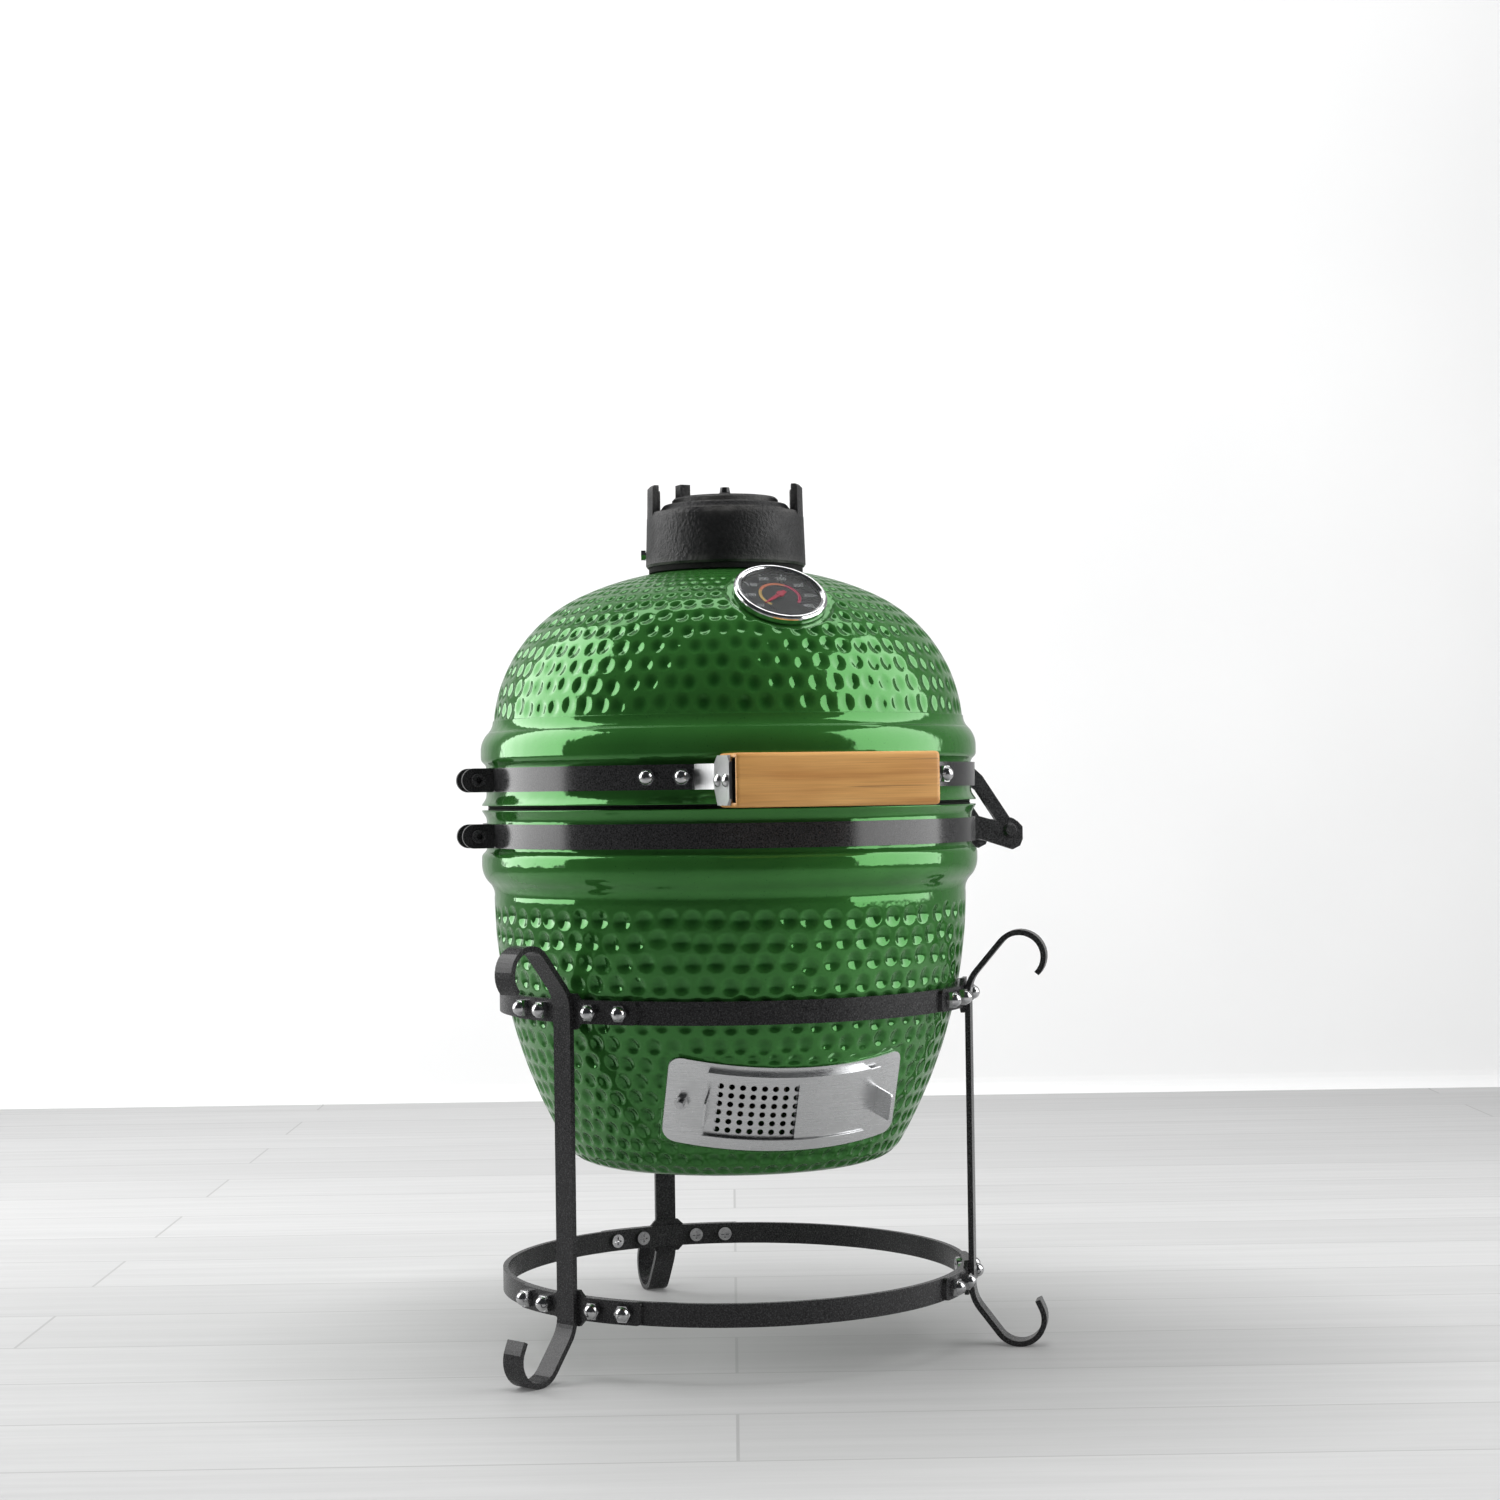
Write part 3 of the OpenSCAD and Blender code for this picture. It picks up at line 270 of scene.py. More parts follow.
def matt_stuff(name, light, dark, grain, rough, strength):
    """Dry matt stuff, such as felt or unglazed fire clay."""
    material, tree, shader = start_finish(name, Specular_IOR_Level=0.25)
    grit = place(tree, GRIT, {"Grain size": grain, "Patch size": grain * 22})
    mixed = math_node(tree, "MULTIPLY", math_node(tree, "ADD", grit["Grain"], grit["Patches"]), 0.5)
    join(tree, shader, blend_colours(tree, mixed, (*light, 1), (*dark, 1)),
         span(tree, grit["Grain"], 0, 1, rough, min(1, rough + 0.1)), grit["Grain"], strength, distance=0.0006)
    return material


def bamboo():
    """Laminated bamboo: long strips with a fine fibre, darker lines and a thin oil finish."""
    material, tree, shader = start_finish("Oiled bamboo", Coat_Weight=0.12, Coat_Roughness=0.3)
    strips = add(tree, "Mapping", {0: add(tree, "TexCoord").outputs["Object"], 3: (9.0, 150.0, 105.0)}).outputs[0]
    fibre = add(tree, "Mapping", {0: add(tree, "TexCoord").outputs["Object"], 3: (22.0, 1500.0, 1500.0)}).outputs[0]
    tone = add(tree, "TexNoise", {0: strips, "Scale": 1.0, "Detail": 2.0, "Distortion": 0.3}).outputs[0]
    threads = add(tree, "TexNoise", {0: fibre, "Scale": 1.0, "Detail": 4.0, "Roughness": 0.65}).outputs[0]
    flecks = span(tree, add(tree, "TexNoise", {0: fibre, "Scale": 0.6, "Detail": 1.0}).outputs[0], 0.66, 0.74)
    ramp = add(tree, "ValToRGB", {0: span(tree, tone, 0.28, 0.72)})
    ramp.color_ramp.elements[0].color = (0.60, 0.26, 0.06, 1)
    ramp.color_ramp.elements[1].color = (0.95, 0.53, 0.17, 1)
    wood = blend_colours(tree, span(tree, threads, 0.3, 0.75, 0.0, 0.45), ramp.outputs[0], (0.45, 0.18, 0.045, 1))
    wood = blend_colours(tree, math_node(tree, "MULTIPLY", flecks, 0.5), wood, (0.2, 0.08, 0.03, 1))
    join(tree, shader, wood, span(tree, threads, 0, 1, 0.38, 0.55), threads, strength=0.15, distance=0.0002)
    return material


def printed(name, colour, spread=0.75):
    """Matt printing ink on the dial."""
    material, tree, shader = start_finish(name, Specular_IOR_Level=0.15)
    grit = place(tree, GRIT, {"Grain size": 0.0004, "Patch size": 0.006})
    darker = tuple(c * spread for c in colour)
    join(tree, shader, blend_colours(tree, grit["Patches"], (*colour, 1), (*darker, 1)),
         span(tree, grit["Grain"], 0, 1, 0.4, 0.55), grit["Grain"], 0.1, 0.00005)
    return material


def clear_glass():
    material, tree, shader = start_finish("Dial glass", Base_Color=(0.97, 0.99, 0.98, 1), Transmission_Weight=1.0, IOR=1.1)
    grit = place(tree, GRIT, {"Grain size": 0.0015, "Patch size": 0.012})
    join(tree, shader, roughness=span(tree, grit["Patches"], 0, 1, 0.0, 0.03))
    return material


def dim_in_reflections(tree, shader, emission, share):
    """Lets a stage surface look darker in the grill's reflections, as with black cards beside it."""
    glossy = add(tree, "LightPath").outputs["Is Glossy Ray"]
    shader.inputs["Emission Color"].default_value = (1, 1, 1, 1)
    tree.links.new(span(tree, glossy, 0, 1, emission, emission * share), shader.inputs["Emission Strength"])
    return span(tree, glossy, 0, 1, 0.0, 1.0 - share)


def wall_paint():
    material, tree, shader = start_finish("Pale wall", Specular_IOR_Level=0.2)
    grit = place(tree, GRIT, {"Grain size": 0.02, "Patch size": 0.6})
    paint = blend_colours(tree, grit["Patches"], (0.70, 0.70, 0.70, 1), (0.75, 0.75, 0.75, 1))
    dim = dim_in_reflections(tree, shader, 0.24, 0.5)
    join(tree, shader, blend_colours(tree, dim, paint, (0, 0, 0, 1)),
         span(tree, grit["Grain"], 0, 1, 0.5, 0.6))
    return material


def limed_boards():
    """Pale limed floor boards that run from side to side, with thin joints, a faint grain and a painted soft shadow
    under the grill.
    """
    material, tree, shader = start_finish("Limed boards", Specular_IOR_Level=0.3)
    turned = add(tree, "Mapping", {0: add(tree, "TexCoord").outputs["Object"], 2: (0, 0, -CAMERA_AZIMUTH)}).outputs[0]
    boards = add(tree, "TexBrick", {0: turned, "Scale": 1.0, "Color1": (0.50, 0.50, 0.50, 1),
                                    "Color2": (0.56, 0.56, 0.56, 1), "Mortar": (0.36, 0.36, 0.36, 1),
                                    "Mortar Size": 0.0012, "Mortar Smooth": 0.4, "Brick Width": 1.3,
                                    "Row Height": 0.11}, offset=0.37).outputs[0]
    along = add(tree, "Mapping", {0: turned, 3: (3.0, 70.0, 1.0)}).outputs[0]
    grain = add(tree, "TexNoise", {0: along, "Scale": 1.0, "Detail": 5.0, "Roughness": 0.65}).outputs[0]
    wood = blend_colours(tree, span(tree, grain, 0.3, 0.75, 0.0, 0.5), boards, (0.40, 0.40, 0.40, 1))
    # Painted shadow: the boards darken to near black in a soft round patch under the grill, a little off its axis.
    beside = add(tree, "Mapping", {0: add(tree, "TexCoord").outputs["Object"], 1: (-0.06, 0.03, 0.0)}).outputs[0]
    away = add(tree, "VectorMath", {0: beside}, operation="LENGTH").outputs["Value"]
    wood = blend_colours(tree, span(tree, away, 0.0, 0.42, 0.62, 0.0), wood, (0.06, 0.06, 0.06, 1))
    dim = dim_in_reflections(tree, shader, 0.08, 0.8)
    join(tree, shader, blend_colours(tree, dim, wood, (0, 0, 0, 1)), span(tree, grain, 0, 1, 0.45, 0.65), grain, 0.1, 0.0005)
    return material


CAMERA_AZIMUTH = math.radians(-18.5)
GLAZE = green_glaze()
STAND_COAT = powder_coat("Black stand coat", 0.003, 0.2, 0.08, 0.25)
BAND_COAT = powder_coat("Black band coat", 0.003, 0.13, 0.03, 0.5)
BLACK_STEEL = powder_coat("Blackened fasteners", 0.008, 0.22)
IRON = cast_iron()
STEEL = sheet_steel("Brushed stainless sheet", (60.0, 60.0, 2600.0), 0.78, 0.2)
STRAP_STEEL = sheet_steel("Brushed strap", (2000.0, 60.0, 60.0), 0.62, 0.28)
GRATE_STEEL = sheet_steel("Drawn rod", (60.0, 60.0, 900.0), 0.6, 0.3)
PLATING = plated("Bright plating", 0.66, 0.13)
CHROME = plated("Polished bezel", 0.9, 0.07)
FELT = matt_stuff("Black felt", (0.03, 0.03, 0.03), (0.012, 0.012, 0.012), 0.0007, 0.88, 0.8)
CLAY = matt_stuff("Fire clay", (0.58, 0.49, 0.36), (0.44, 0.36, 0.26), 0.0016, 0.8, 0.5)
WOOD = bamboo()
SLOT_DARK = matt_stuff("Slot shadow lining", (0.016, 0.014, 0.013), (0.008, 0.007, 0.007), 0.0009, 0.7, 0.3)
DIAL_FACE = printed("Dial face", (0.016, 0.016, 0.019))
DIAL_GREY = printed("Dial numbers", (0.42, 0.42, 0.44))
DIAL_YELLOW = printed("Dial warm zone", (0.5, 0.32, 0.08))
DIAL_ORANGE = printed("Dial hot zone", (0.5, 0.13, 0.06))
DIAL_RED = printed("Dial searing zone", (0.36, 0.02, 0.07))
NEEDLE_RED = printed("Pointer paint", (0.42, 0.02, 0.055))
GLASS = clear_glass()

FINISHES = [
    (STAND_COAT, "lower_ring upper_ring front_left_leg front_right_leg back_leg lower_leg_plates upper_leg_plates"),
    (PLATING, "lower_ring_screws upper_ring_screws ring_cap_nuts handle_studs handle_cap_nuts handle_wood_screws"
              " vent_stud vent_nut vent_flush_screw cap_set_screw thermometer_stem thermometer_nut"),
    (GLAZE, "ceramic_base ceramic_dome"),
    (FELT, "base_gasket dome_gasket cap_gasket"),
    (CLAY, "fire_box fire_ring"),
    (IRON, "charcoal_grate chimney_cap chimney_plate daisy_wheel"),
    (STEEL, "vent_frame screen_door draft_door thermometer_case"),
    (STRAP_STEEL, "left_handle_bracket right_handle_bracket"),
    (GRATE_STEEL, "cooking_grate"),
    (BAND_COAT, "lower_band upper_band hinge_base hinge_arms"),
    (BLACK_STEEL, "lower_band_screw lower_band_nut upper_band_screw upper_band_nut hinge_pin hinge_nut"
                  " hinge_tube daisy_screw"),
    (WOOD, "handle_bar"), (CHROME, "thermometer_bezel"), (DIAL_FACE, "thermometer_dial"),
    (GLASS, "thermometer_glass"), (NEEDLE_RED, "thermometer_needle")]
for finish, names in FINISHES:
    for name in names.split():
        PARTS[name].data.materials.clear()
        PARTS[name].data.materials.append(finish)


# The brackets' feet on the band are coated black like the band itself
BAND_OUTER_R = 0.1641
for name in ("left_handle_bracket", "right_handle_bracket"):
    bracket = PARTS[name]
    bracket.data.materials.append(BAND_COAT)
    for polygon in bracket.data.polygons:
        away = (bracket.matrix_world @ polygon.center).xy.length
        polygon.material_index = 1 if away < BAND_OUTER_R + 0.0026 else 0


# ------------------------------------------------------------------ mesh helpers
def piece(name, vertices, faces, material, body, smooth=True):
    """A new mesh piece that rides on a body."""
    mesh = bpy.data.meshes.new(name)
    mesh.from_pydata([tuple(v) for v in vertices], [], faces)
    mesh.update()
    thing = bpy.data.objects.new(name, mesh)
    bpy.context.scene.collection.objects.link(thing)
    mesh.materials.append(material)
    if smooth:
        mesh.shade_smooth()
    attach(thing, body)
    return thing


def arc_points(centre, radius, first, last, count):
    angles = np.radians(np.linspace(first, last, count + 1))
    return [(centre[0] + radius * math.cos(a), centre[1] + radius * math.sin(a)) for a in angles]


def rounded(points, radius):
    """Softens the corners of an open outline, as glaze does."""
    soft = [points[0]]
    for before, corner, after in zip(points, points[1:], points[2:]):
        b, c, a = map(np.array, (before, corner, after))
        to_b, to_a = b - c, a - c
        reach = min(radius, np.linalg.norm(to_b) * 0.45, np.linalg.norm(to_a) * 0.45)
        p0, p2 = c + to_b / np.linalg.norm(to_b) * reach, c + to_a / np.linalg.norm(to_a) * reach
        soft += [tuple((1 - t) ** 2 * p0 + 2 * t * (1 - t) * c + t * t * p2) for t in (0, 0.25, 0.5, 0.75, 1)]
    return soft + [points[-1]]


def evenly(points, step):
    """The same outline with points no more than a step apart."""
    dense = [points[0]]
    for a, b in zip(points, points[1:]):
        count = max(1, math.ceil(math.dist(a, b) / step))
        dense += [(a[0] + (b[0] - a[0]) * i / count, a[1] + (b[1] - a[1]) * i / count) for i in range(1, count + 1)]
    return dense


# ------------------------------------------------------------------ glazed ceramic
RIM_BEAD_MM = 17.0
RIM_HOLLOW_MM = 11.0
DIMPLE_JITTER = 0.09


def rim_outline(up, edge):
    """The rolled rim from the seam to the body; up is 1 on the dome and -1 on the base."""
    bead = (RIM_R_MM - RIM_BEAD_MM, SEAM_MM + up * 37.5)
    away = (RIM_BEAD_MM + RIM_HOLLOW_MM) * math.sqrt(0.5)
    hollow = (bead[0] + away, bead[1] + up * away)
    band_seat = [(164.5, edge), (164.5, SEAM_MM + up * 2.2), (161.5, SEAM_MM + up * 6.6),
                 (161.5, SEAM_MM + up * 28.0), (RIM_R_MM, SEAM_MM + up * 31.0)]
    return (band_seat + arc_points(bead, RIM_BEAD_MM, 0, up * 45, 8)
            + arc_points(hollow, RIM_HOLLOW_MM, up * 225, up * 180, 7))


def dimple_rows(first, last, pitch_at):
    """Distances along the outline at which the rows of dimples lie."""
    rows, s = [], first
    while s < last:
        rows.append(s)
        s += pitch_at(s)
    return rows


def carve_dimples(outline, start, count, first_z, last_z, depth_mm, seed, squeeze):
    """Depth in mm of the dimples over a revolved outline, as an array of outline by angle."""
    r = np.array([p[0] for p in outline])
    z = np.array([p[1] for p in outline])
    s = np.concatenate([[0], np.cumsum(np.hypot(np.diff(r), np.diff(z)))])
    angle = np.linspace(0, 2 * np.pi, start, endpoint=False)
    cell = 2 * np.pi / count
    s_first = float(np.interp(first_z, z, s)) if z[-1] > z[0] else float(np.interp(-first_z, -z, s))
    s_last = float(np.interp(last_z, z, s)) if z[-1] > z[0] else float(np.interp(-last_z, -z, s))
    widest = float(np.interp(s_first, s, r))
    rows = dimple_rows(s_first, s_last, lambda at: squeeze * cell * widest * (np.interp(at, s, r) / widest) ** 0.75)
    chance = np.random.default_rng(seed)
    depth = np.zeros((len(r), start))
    for k, middle in enumerate(rows):
        radius = float(np.interp(middle, s, r))
        height = squeeze * cell * widest * (radius / widest) ** 0.75
        shift = chance.normal(0, DIMPLE_JITTER, (count, 2))
        strength = chance.uniform(0.8, 1.12, count)
        band = np.abs(s - middle) < height * 0.8
        place_ = angle / cell - 0.5 * (k % 2)
        index = np.round(place_).astype(int) % count
        across = (place_ - np.round(place_) - shift[index, 0] * 0.6)[None, :]
        along = ((s[band] - middle) / height)[:, None] - shift[index, 1][None, :] * 0.6
        away = np.sqrt((across / 0.42) ** 2 + (along / 0.47) ** 2)
        bowl = np.clip(1 - away ** 2, 0, None) ** 1.3
        fade = min(1.0, radius / 120)
        depth[band] = np.maximum(depth[band], depth_mm * fade * strength[index][None, :] * bowl)
    return depth


def revolve(name, outer, inner, depth, segments, adjust, node, body):
    """A closed shell of revolution with its outer skin pushed in by depth, in mm."""
    r = np.array([p[0] for p in outer])
    z = np.array([p[1] for p in outer])
    tangent = np.stack([np.gradient(r), np.gradient(z)], 1)
    tangent /= np.linalg.norm(tangent, axis=1)[:, None]
    normal = np.stack([tangent[:, 1], -tangent[:, 0]], 1)
    if normal[len(r) // 2, 0] < 0:
        normal = -normal
    angle = np.linspace(0, 2 * np.pi, segments, endpoint=False)
    radius = r[:, None] - normal[:, :1] * depth
    height = z[:, None] - normal[:, 1:] * depth
    skin = np.stack([radius * np.sin(angle), -radius * np.cos(angle), height + 0 * angle], 2).reshape(-1, 3) * MM
    skin, pooled = adjust(skin, (depth / max(depth.max(), 1e-6)).reshape(-1))
    r_in = np.array([p[0] for p in inner])[:, None]
    z_in = np.array([p[1] for p in inner])[:, None]
    lining = np.stack([r_in * np.sin(angle), -r_in * np.cos(angle), z_in + 0 * angle], 2).reshape(-1, 3) * MM
    vertices = np.concatenate([skin, lining])
    rings = len(outer) + len(inner)
    faces = []
    for i in range(rings):
        here, there = i * segments, (i + 1) % rings * segments
        for j in range(segments):
            k = (j + 1) % segments
            faces.append((here + j, here + k, there + k, there + j))
    shell = piece(name, vertices, faces, GLAZE, body)
    mask = shell.data.attributes.new("glaze_pool", "FLOAT", "POINT")
    mask.data.foreach_set("value", np.concatenate([pooled, np.zeros(len(lining))]).astype(np.float32))
    mesh = bmesh.new()
    mesh.from_mesh(shell.data)
    bmesh.ops.recalc_face_normals(mesh, faces=mesh.faces)
    mesh.to_mesh(shell.data)
    mesh.free()
    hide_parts(node)
    return shell


def ease(value):
    value = np.clip(value, 0, 1)
    return value * value * (3 - 2 * value)


VENT_SEAT_R = 0.1385
VENT_SEAT_HALF_H = 0.0288
VENT_SEAT_HALF_A = math.radians(33.2)
VENT_SEAT_MIDDLE = math.radians(-2.0)
SEAT_FILLET = 0.004


def press_vent_seat(points, pooled):
    """Flattens the moulded seat behind the draft door's frame, with a soft edge."""
    back = np.array(to_vent.inverted())
    local = points @ back[:3, :3].T + back[:3, 3]
    angle = np.arctan2(local[:, 0], -local[:, 1])
    radius = np.hypot(local[:, 0], local[:, 1])
    outside_a = (np.abs(angle - VENT_SEAT_MIDDLE) - VENT_SEAT_HALF_A) * VENT_SEAT_R
    outside_h = np.abs(local[:, 2]) - VENT_SEAT_HALF_H
    outside = np.hypot(np.clip(outside_a, 0, None), np.clip(outside_h, 0, None))
    weight = 1 - ease(outside / SEAT_FILLET)
    weight[(radius < 0.1) | (local[:, 1] > 0)] = 0
    target = radius + (VENT_SEAT_R - radius) * weight
    local[:, 0] *= target / radius
    local[:, 1] *= target / radius
    ahead = np.array(to_vent)
    return local @ ahead[:3, :3].T + ahead[:3, 3], pooled * (1 - weight)


GAUGE_SEAT_R = 0.0333


def press_gauge_seat(points, pooled):
    """Cuts the flat seat under the thermometer, with a glazed edge."""
    back = np.array(to_gauge.inverted())
    local = points @ back[:3, :3].T + back[:3, 3]
    away = np.hypot(local[:, 0], local[:, 1])
    weight = 1 - ease((away - GAUGE_SEAT_R) / 0.003)
    weight[(local[:, 2] < -0.03)] = 0
    high = np.clip(local[:, 2], 0, None) * weight
    local[:, 2] -= high
    low = np.clip(-local[:, 2], 0, 0.004) * weight * (local[:, 2] > -0.01)
    local[:, 2] += low * 0.9
    ahead = np.array(to_gauge)
    return local @ ahead[:3, :3].T + ahead[:3, 3], pooled * (1 - weight)


def make_base():
    body_r, body_z, body_arc = BODY_ARC_MM
    foot_a = 30.0
    corner = (body_r + body_arc * math.cos(math.radians(-foot_a)), body_z + body_arc * math.sin(math.radians(-foot_a)))
    foot_r = 24.0
    foot = (corner[0] - foot_r * math.cos(math.radians(foot_a)), BASE_Z_MM + foot_r)
    edge = SEAM_MM - 1.55
    line = ([(30.0, BASE_Z_MM)] + arc_points(foot, foot_r, -90, -foot_a, 10)
            + arc_points((body_r, body_z), body_arc, -foot_a + 0.4, -0.7, 60) + rim_outline(-1, edge)[::-1])
    outer = evenly(rounded(line, 2.2), 1.45)
    inner_arc = arc_points((body_r, body_z), body_arc - WALL_MM, 0, -30.6, 24)
    inner = [(MOUTH_R_MM, edge)] + inner_arc + [(60.0, BASE_Z_MM + WALL_MM), (1.0, BASE_Z_MM + WALL_MM)]
    outer = [(1.0, BASE_Z_MM)] + outer
    segments = 792
    depth = carve_dimples(outer, segments, 66, 126.0, 293.0, 1.75, 7, 1.0)
    return revolve("glazed_base", outer, inner, depth, segments, press_vent_seat, "ceramic_base", "base")


def make_dome():
    shoulder, shoulder_r = SHOULDER_MM[:2], SHOULDER_MM[2]
    turn = math.radians(SHOULDER_END)
    crown = tuple(c + (shoulder_r - CROWN_R_MM) * d for c, d in zip(shoulder, (math.cos(turn), math.sin(turn))))
    edge = SEAM_MM + 1.55
    out_end = math.degrees(math.acos((NECK_R_MM - crown[0]) / CROWN_R_MM))
    in_end = math.degrees(math.acos((NECK_R_MM - 12 - crown[0]) / (CROWN_R_MM - WALL_MM)))
    line = (rim_outline(1, edge) + arc_points(shoulder, shoulder_r, 5, SHOULDER_END, 40)
            + arc_points(crown, CROWN_R_MM, SHOULDER_END + 0.6, out_end, 14) + [(NECK_R_MM, NECK_TOP_MM)])
    outer = evenly(rounded(line, 2.2), 1.35)
    inner = ([(NECK_R_MM - 12, NECK_TOP_MM)] + arc_points(crown, CROWN_R_MM - WALL_MM, in_end, SHOULDER_END + 0.6, 8)
             + arc_points(shoulder, shoulder_r - WALL_MM, SHOULDER_END, 0, 20) + [(MOUTH_R_MM, edge)])
    segments = 740
    depth = carve_dimples(outer, segments, 74, 419.0, 509.0, 1.35, 11, 1.0)
    return revolve("glazed_dome", outer, inner, depth, segments, press_gauge_seat, "ceramic_dome", "lid")


glazed_base = make_base()
glazed_dome = make_dome()


# ------------------------------------------------------------------ draft duct through the base
def cut_duct(shell):
    """Opens the air duct from the draft door into the fire box."""
    half_h = 0.017
    columns = np.radians(np.linspace(-21.5, -1.5, 7))
    ring = [(r, a, h) for h in (-half_h, half_h) for r in (0.105, 0.142) for a in columns]
    n = len(columns)
    points = [to_vent @ Vector((r * math.sin(a), -r * math.cos(a), h)) for r, a, h in ring]
    def at(level, layer, i): return level * 2 * n + layer * n + i
    faces = []
    for i in range(n - 1):
        faces += [(at(0, 0, i), at(0, 0, i + 1), at(0, 1, i + 1), at(0, 1, i)),
                  (at(1, 0, i), at(1, 1, i), at(1, 1, i + 1), at(1, 0, i + 1)),
                  (at(0, 0, i), at(1, 0, i), at(1, 0, i + 1), at(0, 0, i + 1)),
                  (at(0, 1, i), at(0, 1, i + 1), at(1, 1, i + 1), at(1, 1, i))]
    for i in (0, n - 1):
        faces.append((at(0, 0, i), at(0, 1, i), at(1, 1, i), at(1, 0, i)))
    mesh = bpy.data.meshes.new("duct_cutter")
    mesh.from_pydata(points, [], faces)
    tool = bmesh.new()
    tool.from_mesh(mesh)
    bmesh.ops.recalc_face_normals(tool, faces=tool.faces)
    tool.to_mesh(mesh)
    tool.free()
    cutter = bpy.data.objects.new("duct_cutter", mesh)
    bpy.context.scene.collection.objects.link(cutter)
    apply_cut(shell, cutter)


def apply_cut(target, cutter):
    cut = target.modifiers.new("Cut", "BOOLEAN")
    cut.object = cutter
    cut.operation = "DIFFERENCE"
    cut.solver = "EXACT"
    bpy.context.view_layer.update()
    graph = bpy.context.evaluated_depsgraph_get()
    result = bpy.data.meshes.new_from_object(target.evaluated_get(graph))
    target.modifiers.clear()
    target.data = result
    bpy.data.objects.remove(cutter)


cut_duct(glazed_base)


# ------------------------------------------------------------------ wooden grip
def make_grip():
    """Rounded bamboo bar with a dark slot in each end."""
    low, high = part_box("handle_bar")
    corner = 0.0028
    section = []
    for cy, cz, first in ((high.y - corner, high.z - corner, 0), (low.y + corner, high.z - corner, 90),
                          (low.y + corner, low.z + corner, 180), (high.y - corner, low.z + corner, 270)):
        for step in range(7):
            a = math.radians(first + step * 15)
            section.append((cy + corner * math.cos(a), cz + corner * math.sin(a)))
    middle = Vector((0, (low.y + high.y) / 2, (low.z + high.z) / 2))
    stations = []
    for inset, shrink in ((0.0, 0.0016), (0.0004, 0.0007), (0.0013, 0.0002), (0.0028, 0.0), (0.02, 0.0)):
        stations.append((low.x + inset, shrink))
    stations += [(0.0, 0.0)] + [(-x, s) for x, s in stations[::-1]]
    vertices, faces, n = [], [], len(section)
    for x, shrink in stations:
        for y, z in section:
            flat = Vector((0, y, z)) - middle
            scale_y = 1 - shrink / abs((high.y - low.y) / 2)
            scale_z = 1 - shrink / abs((high.z - low.z) / 2)
            vertices.append((x, middle.y + flat.y * scale_y, middle.z + flat.z * scale_z))
    for i in range(len(stations) - 1):
        for j in range(n):
            k = (j + 1) % n
            faces.append((i * n + j, i * n + k, (i + 1) * n + k, (i + 1) * n + j))
    faces += [tuple(range(n))[::-1], tuple(range(len(vertices) - n, len(vertices)))]
    grip = piece("bamboo_grip", vertices, faces, WOOD, "lid")
    grip.data.materials.append(SLOT_DARK)
    slot_front, slot_back, half = low.y + 0.0014, low.y + 0.0075, 0.0135
    for side in (-1, 1):
        x0, x1 = sorted((side * (high.x - 0.0025), side * (high.x + 0.004)))
        corners = [(x, y, middle.z + z) for x in (x0, x1) for y in (slot_front, slot_back) for z in (-half, half)]
        mesh = bpy.data.meshes.new("slot_cutter")
        mesh.from_pydata(corners, [], [(0, 1, 3, 2), (4, 6, 7, 5), (0, 4, 5, 1), (2, 3, 7, 6), (0, 2, 6, 4), (1, 5, 7, 3)])
        mesh.materials.append(SLOT_DARK)
        cutter = bpy.data.objects.new("slot_cutter", mesh)
        bpy.context.scene.collection.objects.link(cutter)
        apply_cut(grip, cutter)
    for polygon in grip.data.polygons:
        c = polygon.center
        if abs(c.x) < high.x - 0.0003 and slot_front - 1e-5 < c.y < slot_back + 1e-5 and abs(c.x) > high.x - 0.004:
            if abs(c.z - middle.z) < half + 1e-5:
                polygon.material_index = len(grip.data.materials) - 1
    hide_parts("handle_bar")
    return grip


make_grip()


# ------------------------------------------------------------------ dial markings
def dial_strip(name, r0, r1, first, last, material, lift=0.00202):
    """A flat printed band on the dial, between two clock angles from straight up, in degrees."""
    steps = max(2, int(abs(last - first) / 4))
    vertices, faces = [], []
    for i in range(steps + 1):
        a = math.radians(first + (last - first) * i / steps)
        for r in (r0, r1):
            vertices.append(to_gauge @ Vector((r * math.sin(a), r * math.cos(a), lift)))
        if i:
            faces.append((2 * i - 2, 2 * i - 1, 2 * i + 1, 2 * i))
    return piece(name, vertices, faces, material, "lid", smooth=False)


def join_pieces(name, things):
    with bpy.context.temp_override(active_object=things[0], selected_editable_objects=things):
        bpy.ops.object.join()
    things[0].name = name
    return things[0]


def dial_numbers():
    """Small plain numbers round the dial, in tens of degrees."""
    graph_things = []
    for k, value in enumerate(range(5, 41, 5)):
        a = math.radians(-125 + k * 250 / 7)
        curve = bpy.data.curves.new("dial_number", "FONT")
        curve.body = str(value * 10)
        curve.size = 0.0048
        curve.align_x = "CENTER"
        curve.align_y = "CENTER"
        text = bpy.data.objects.new("dial_number_source", curve)
        bpy.context.scene.collection.objects.link(text)
        bpy.context.view_layer.update()
        mesh = bpy.data.meshes.new_from_object(text.evaluated_get(bpy.context.evaluated_depsgraph_get()))
        bpy.data.objects.remove(text)
        local = Matrix.Translation((0.0195 * math.sin(a), 0.0195 * math.cos(a), 0.00204))
        mesh.transform(to_gauge @ local)
        thing = bpy.data.objects.new(f"dial_number_{k}", mesh)
        bpy.context.scene.collection.objects.link(thing)
        mesh.materials.clear()
        mesh.materials.append(DIAL_GREY)
        graph_things.append(thing)
    return graph_things


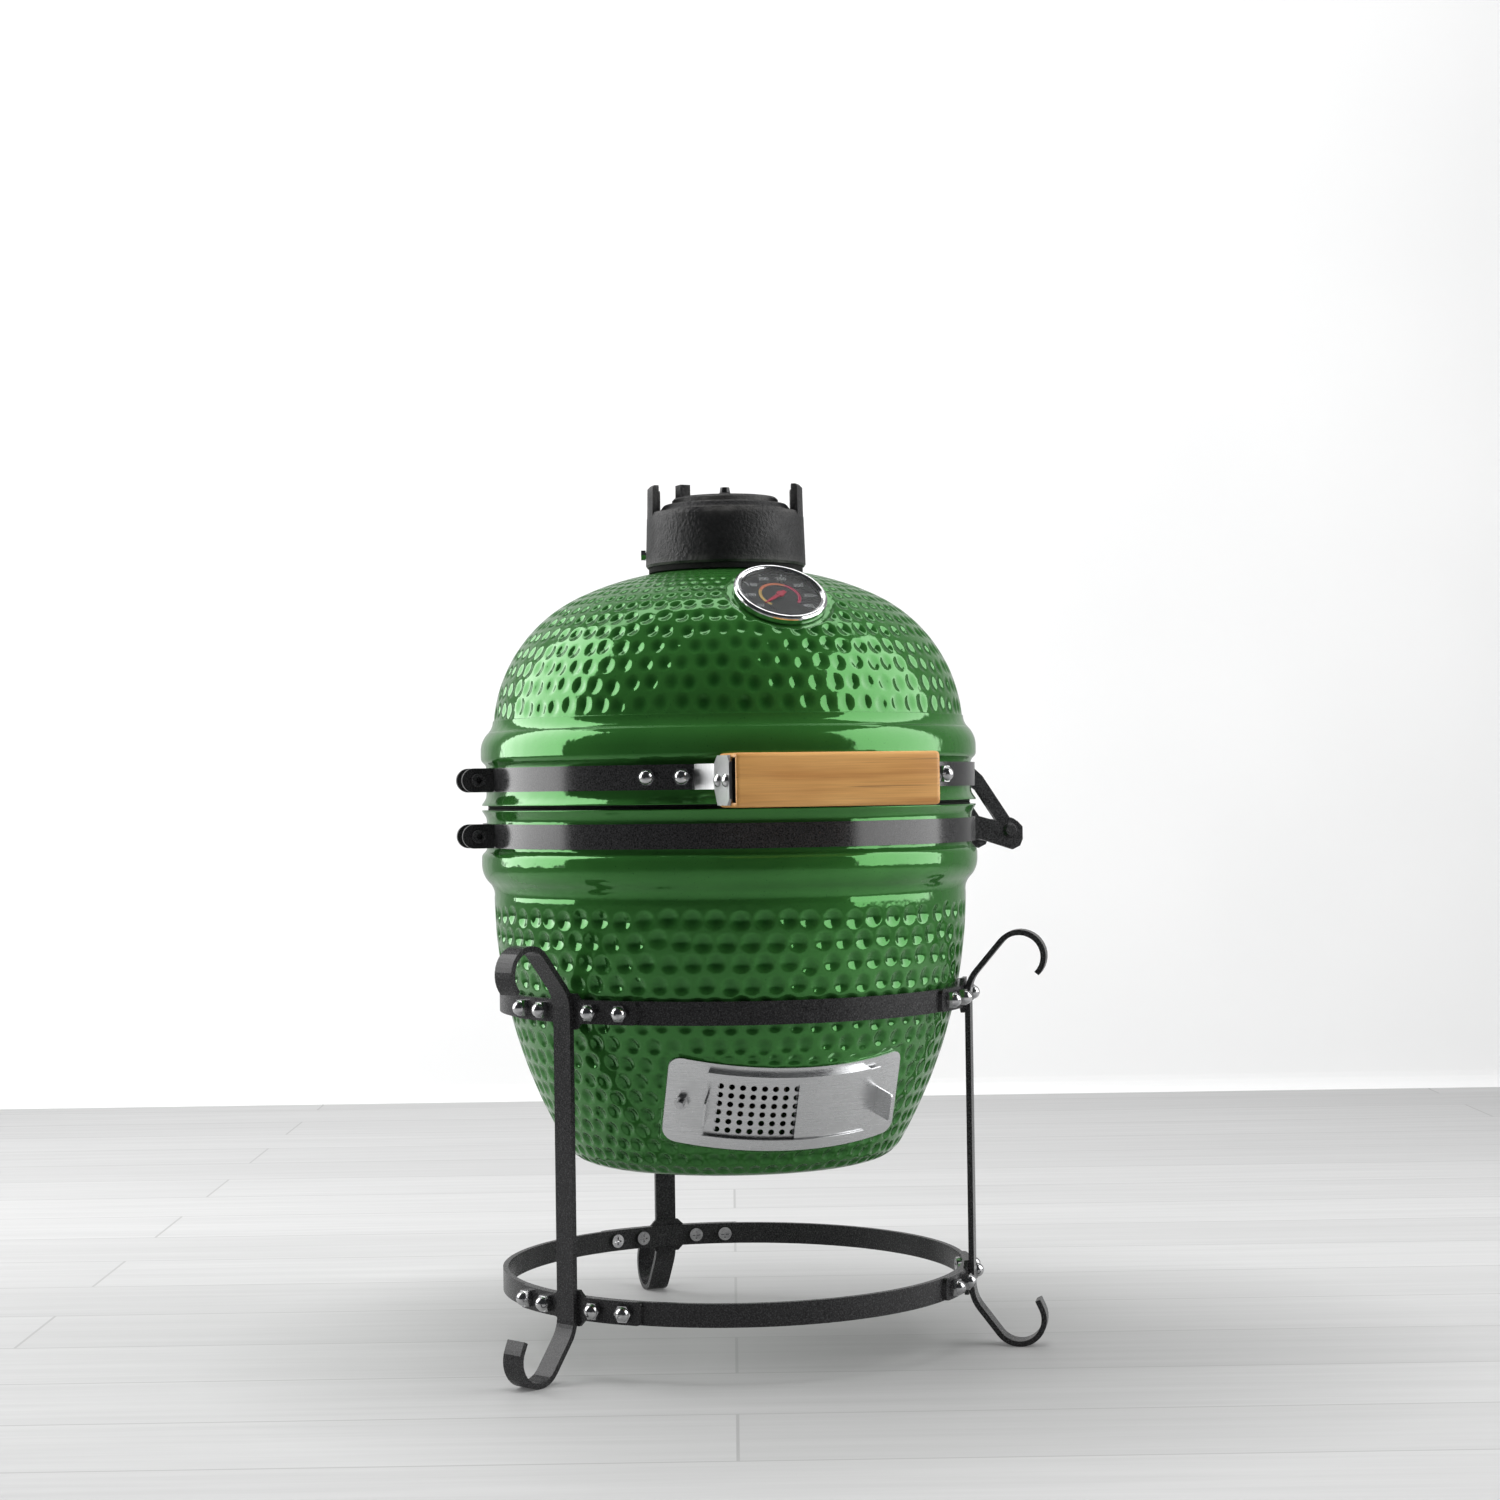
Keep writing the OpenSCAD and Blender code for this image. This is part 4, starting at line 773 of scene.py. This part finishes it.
zones = [("warm", -140, -62, DIAL_YELLOW), ("hot", -62, 28, DIAL_ORANGE), ("searing", 28, 128, DIAL_RED)]
for zone, first, last, ink in zones:
    dial_strip(f"dial_zone_{zone}", 0.0118, 0.0138, first, last, ink)
ticks = []
for k in range(36):
    a = -125 + k * 250 / 35
    long = k % 5 == 0
    ticks.append(dial_strip(f"dial_tick_{k}", 0.0226 if long else 0.0236, 0.0248, a - (0.8 if long else 0.4),
                            a + (0.8 if long else 0.4), DIAL_GREY))
marks = join_pieces("dial_ticks_and_numbers", ticks + dial_numbers())


# ------------------------------------------------------------------ floor, lights and camera
across = Vector((math.cos(CAMERA_AZIMUTH), math.sin(CAMERA_AZIMUTH), 0))
into = Vector((-math.sin(CAMERA_AZIMUTH), math.cos(CAMERA_AZIMUTH), 0))


def from_camera_side(right, depth, up):
    """A place given as metres to the camera's right, away from it and up, from the grill's axis."""
    return across * right + into * depth + Vector((0, 0, up))


def make_floor():
    """Pale floor that meets a plain wall behind the grill."""
    bend_r, wall_at, half_w = 0.02, 1.38, 5.0
    profile = [(-4.0, 0.0)] + [(wall_at - bend_r + bend_r * math.sin(a), bend_r - bend_r * math.cos(a))
                               for a in np.linspace(0, math.pi / 2, 6)] + [(wall_at, 3.6)]
    vertices = [from_camera_side(side * half_w, d, z) for d, z in profile for side in (-1, 1)]
    faces = [(2 * i, 2 * i + 1, 2 * i + 3, 2 * i + 2) for i in range(len(profile) - 1)]
    mesh = bpy.data.meshes.new("floor")
    mesh.from_pydata(vertices, [], faces)
    mesh.materials.append(limed_boards())
    mesh.materials.append(wall_paint())
    for polygon in mesh.polygons:
        polygon.material_index = 0 if polygon.normal.z > 0.9 or polygon.normal.z < -0.9 else 1
    floor = bpy.data.objects.new("floor", mesh)
    bpy.context.scene.collection.objects.link(floor)


def soft_box(name, place_, aim, size, watts, mirrored=True):
    light = bpy.data.lights.new(name, "AREA")
    light.shape = "RECTANGLE"
    light.size, light.size_y = size
    light.energy = watts
    lamp = bpy.data.objects.new(name, light)
    bpy.context.scene.collection.objects.link(lamp)
    lamp.location = place_
    lamp.rotation_mode = "QUATERNION"
    lamp.rotation_quaternion = (aim - place_).to_track_quat("-Z", "Y")
    lamp.visible_camera = False
    lamp.visible_glossy = mirrored


make_floor()
middle = Vector((0, 0, 0.33))
soft_box("left_window", from_camera_side(-1.35, 0.3, 1.1), from_camera_side(0, 0.3, 0.95), (1.3, 1.7), 30)
soft_box("right_window", from_camera_side(1.35, -0.25, 1.0), from_camera_side(0, -0.25, 0.85), (1.4, 1.6), 25)
soft_box("ceiling", from_camera_side(0.0, -0.55, 2.3), middle, (0.8, 0.8), 17, mirrored=False)
soft_box("wall_wash", from_camera_side(0.0, 0.55, 2.3), from_camera_side(0, 1.38, 0.75), (3.0, 0.6), 14)

world = bpy.data.worlds.new("Room")
world.use_nodes = True
world.node_tree.nodes["Background"].inputs[0].default_value = (0.9, 0.95, 1.0, 1)
world.node_tree.nodes["Background"].inputs[1].default_value = 0.04
bpy.context.scene.world = world

bpy.context.scene.view_settings.view_transform = "Standard"

lens = bpy.data.cameras.new("camera")
lens.sensor_width = 36.0
lens.lens = 64.62
camera = bpy.data.objects.new("camera", lens)
bpy.context.scene.collection.objects.link(camera)
bpy.context.scene.camera = camera
pan, tilt, roll = (math.radians(a) for a in (0.46, -0.76, 0.8))
forward = (across * math.sin(pan) * math.cos(tilt) + into * math.cos(pan) * math.cos(tilt)
           + Vector((0, 0, -math.sin(tilt))))
right = forward.cross(Vector((0, 0, 1))).normalized()
up = right.cross(forward)
right, up = right * math.cos(roll) - up * math.sin(roll), up * math.cos(roll) + right * math.sin(roll)
turn = Matrix((right, up, -forward)).transposed().to_4x4()
camera.matrix_world = Matrix.Translation(from_camera_side(0, -1.80196, 0.36786)) @ turn
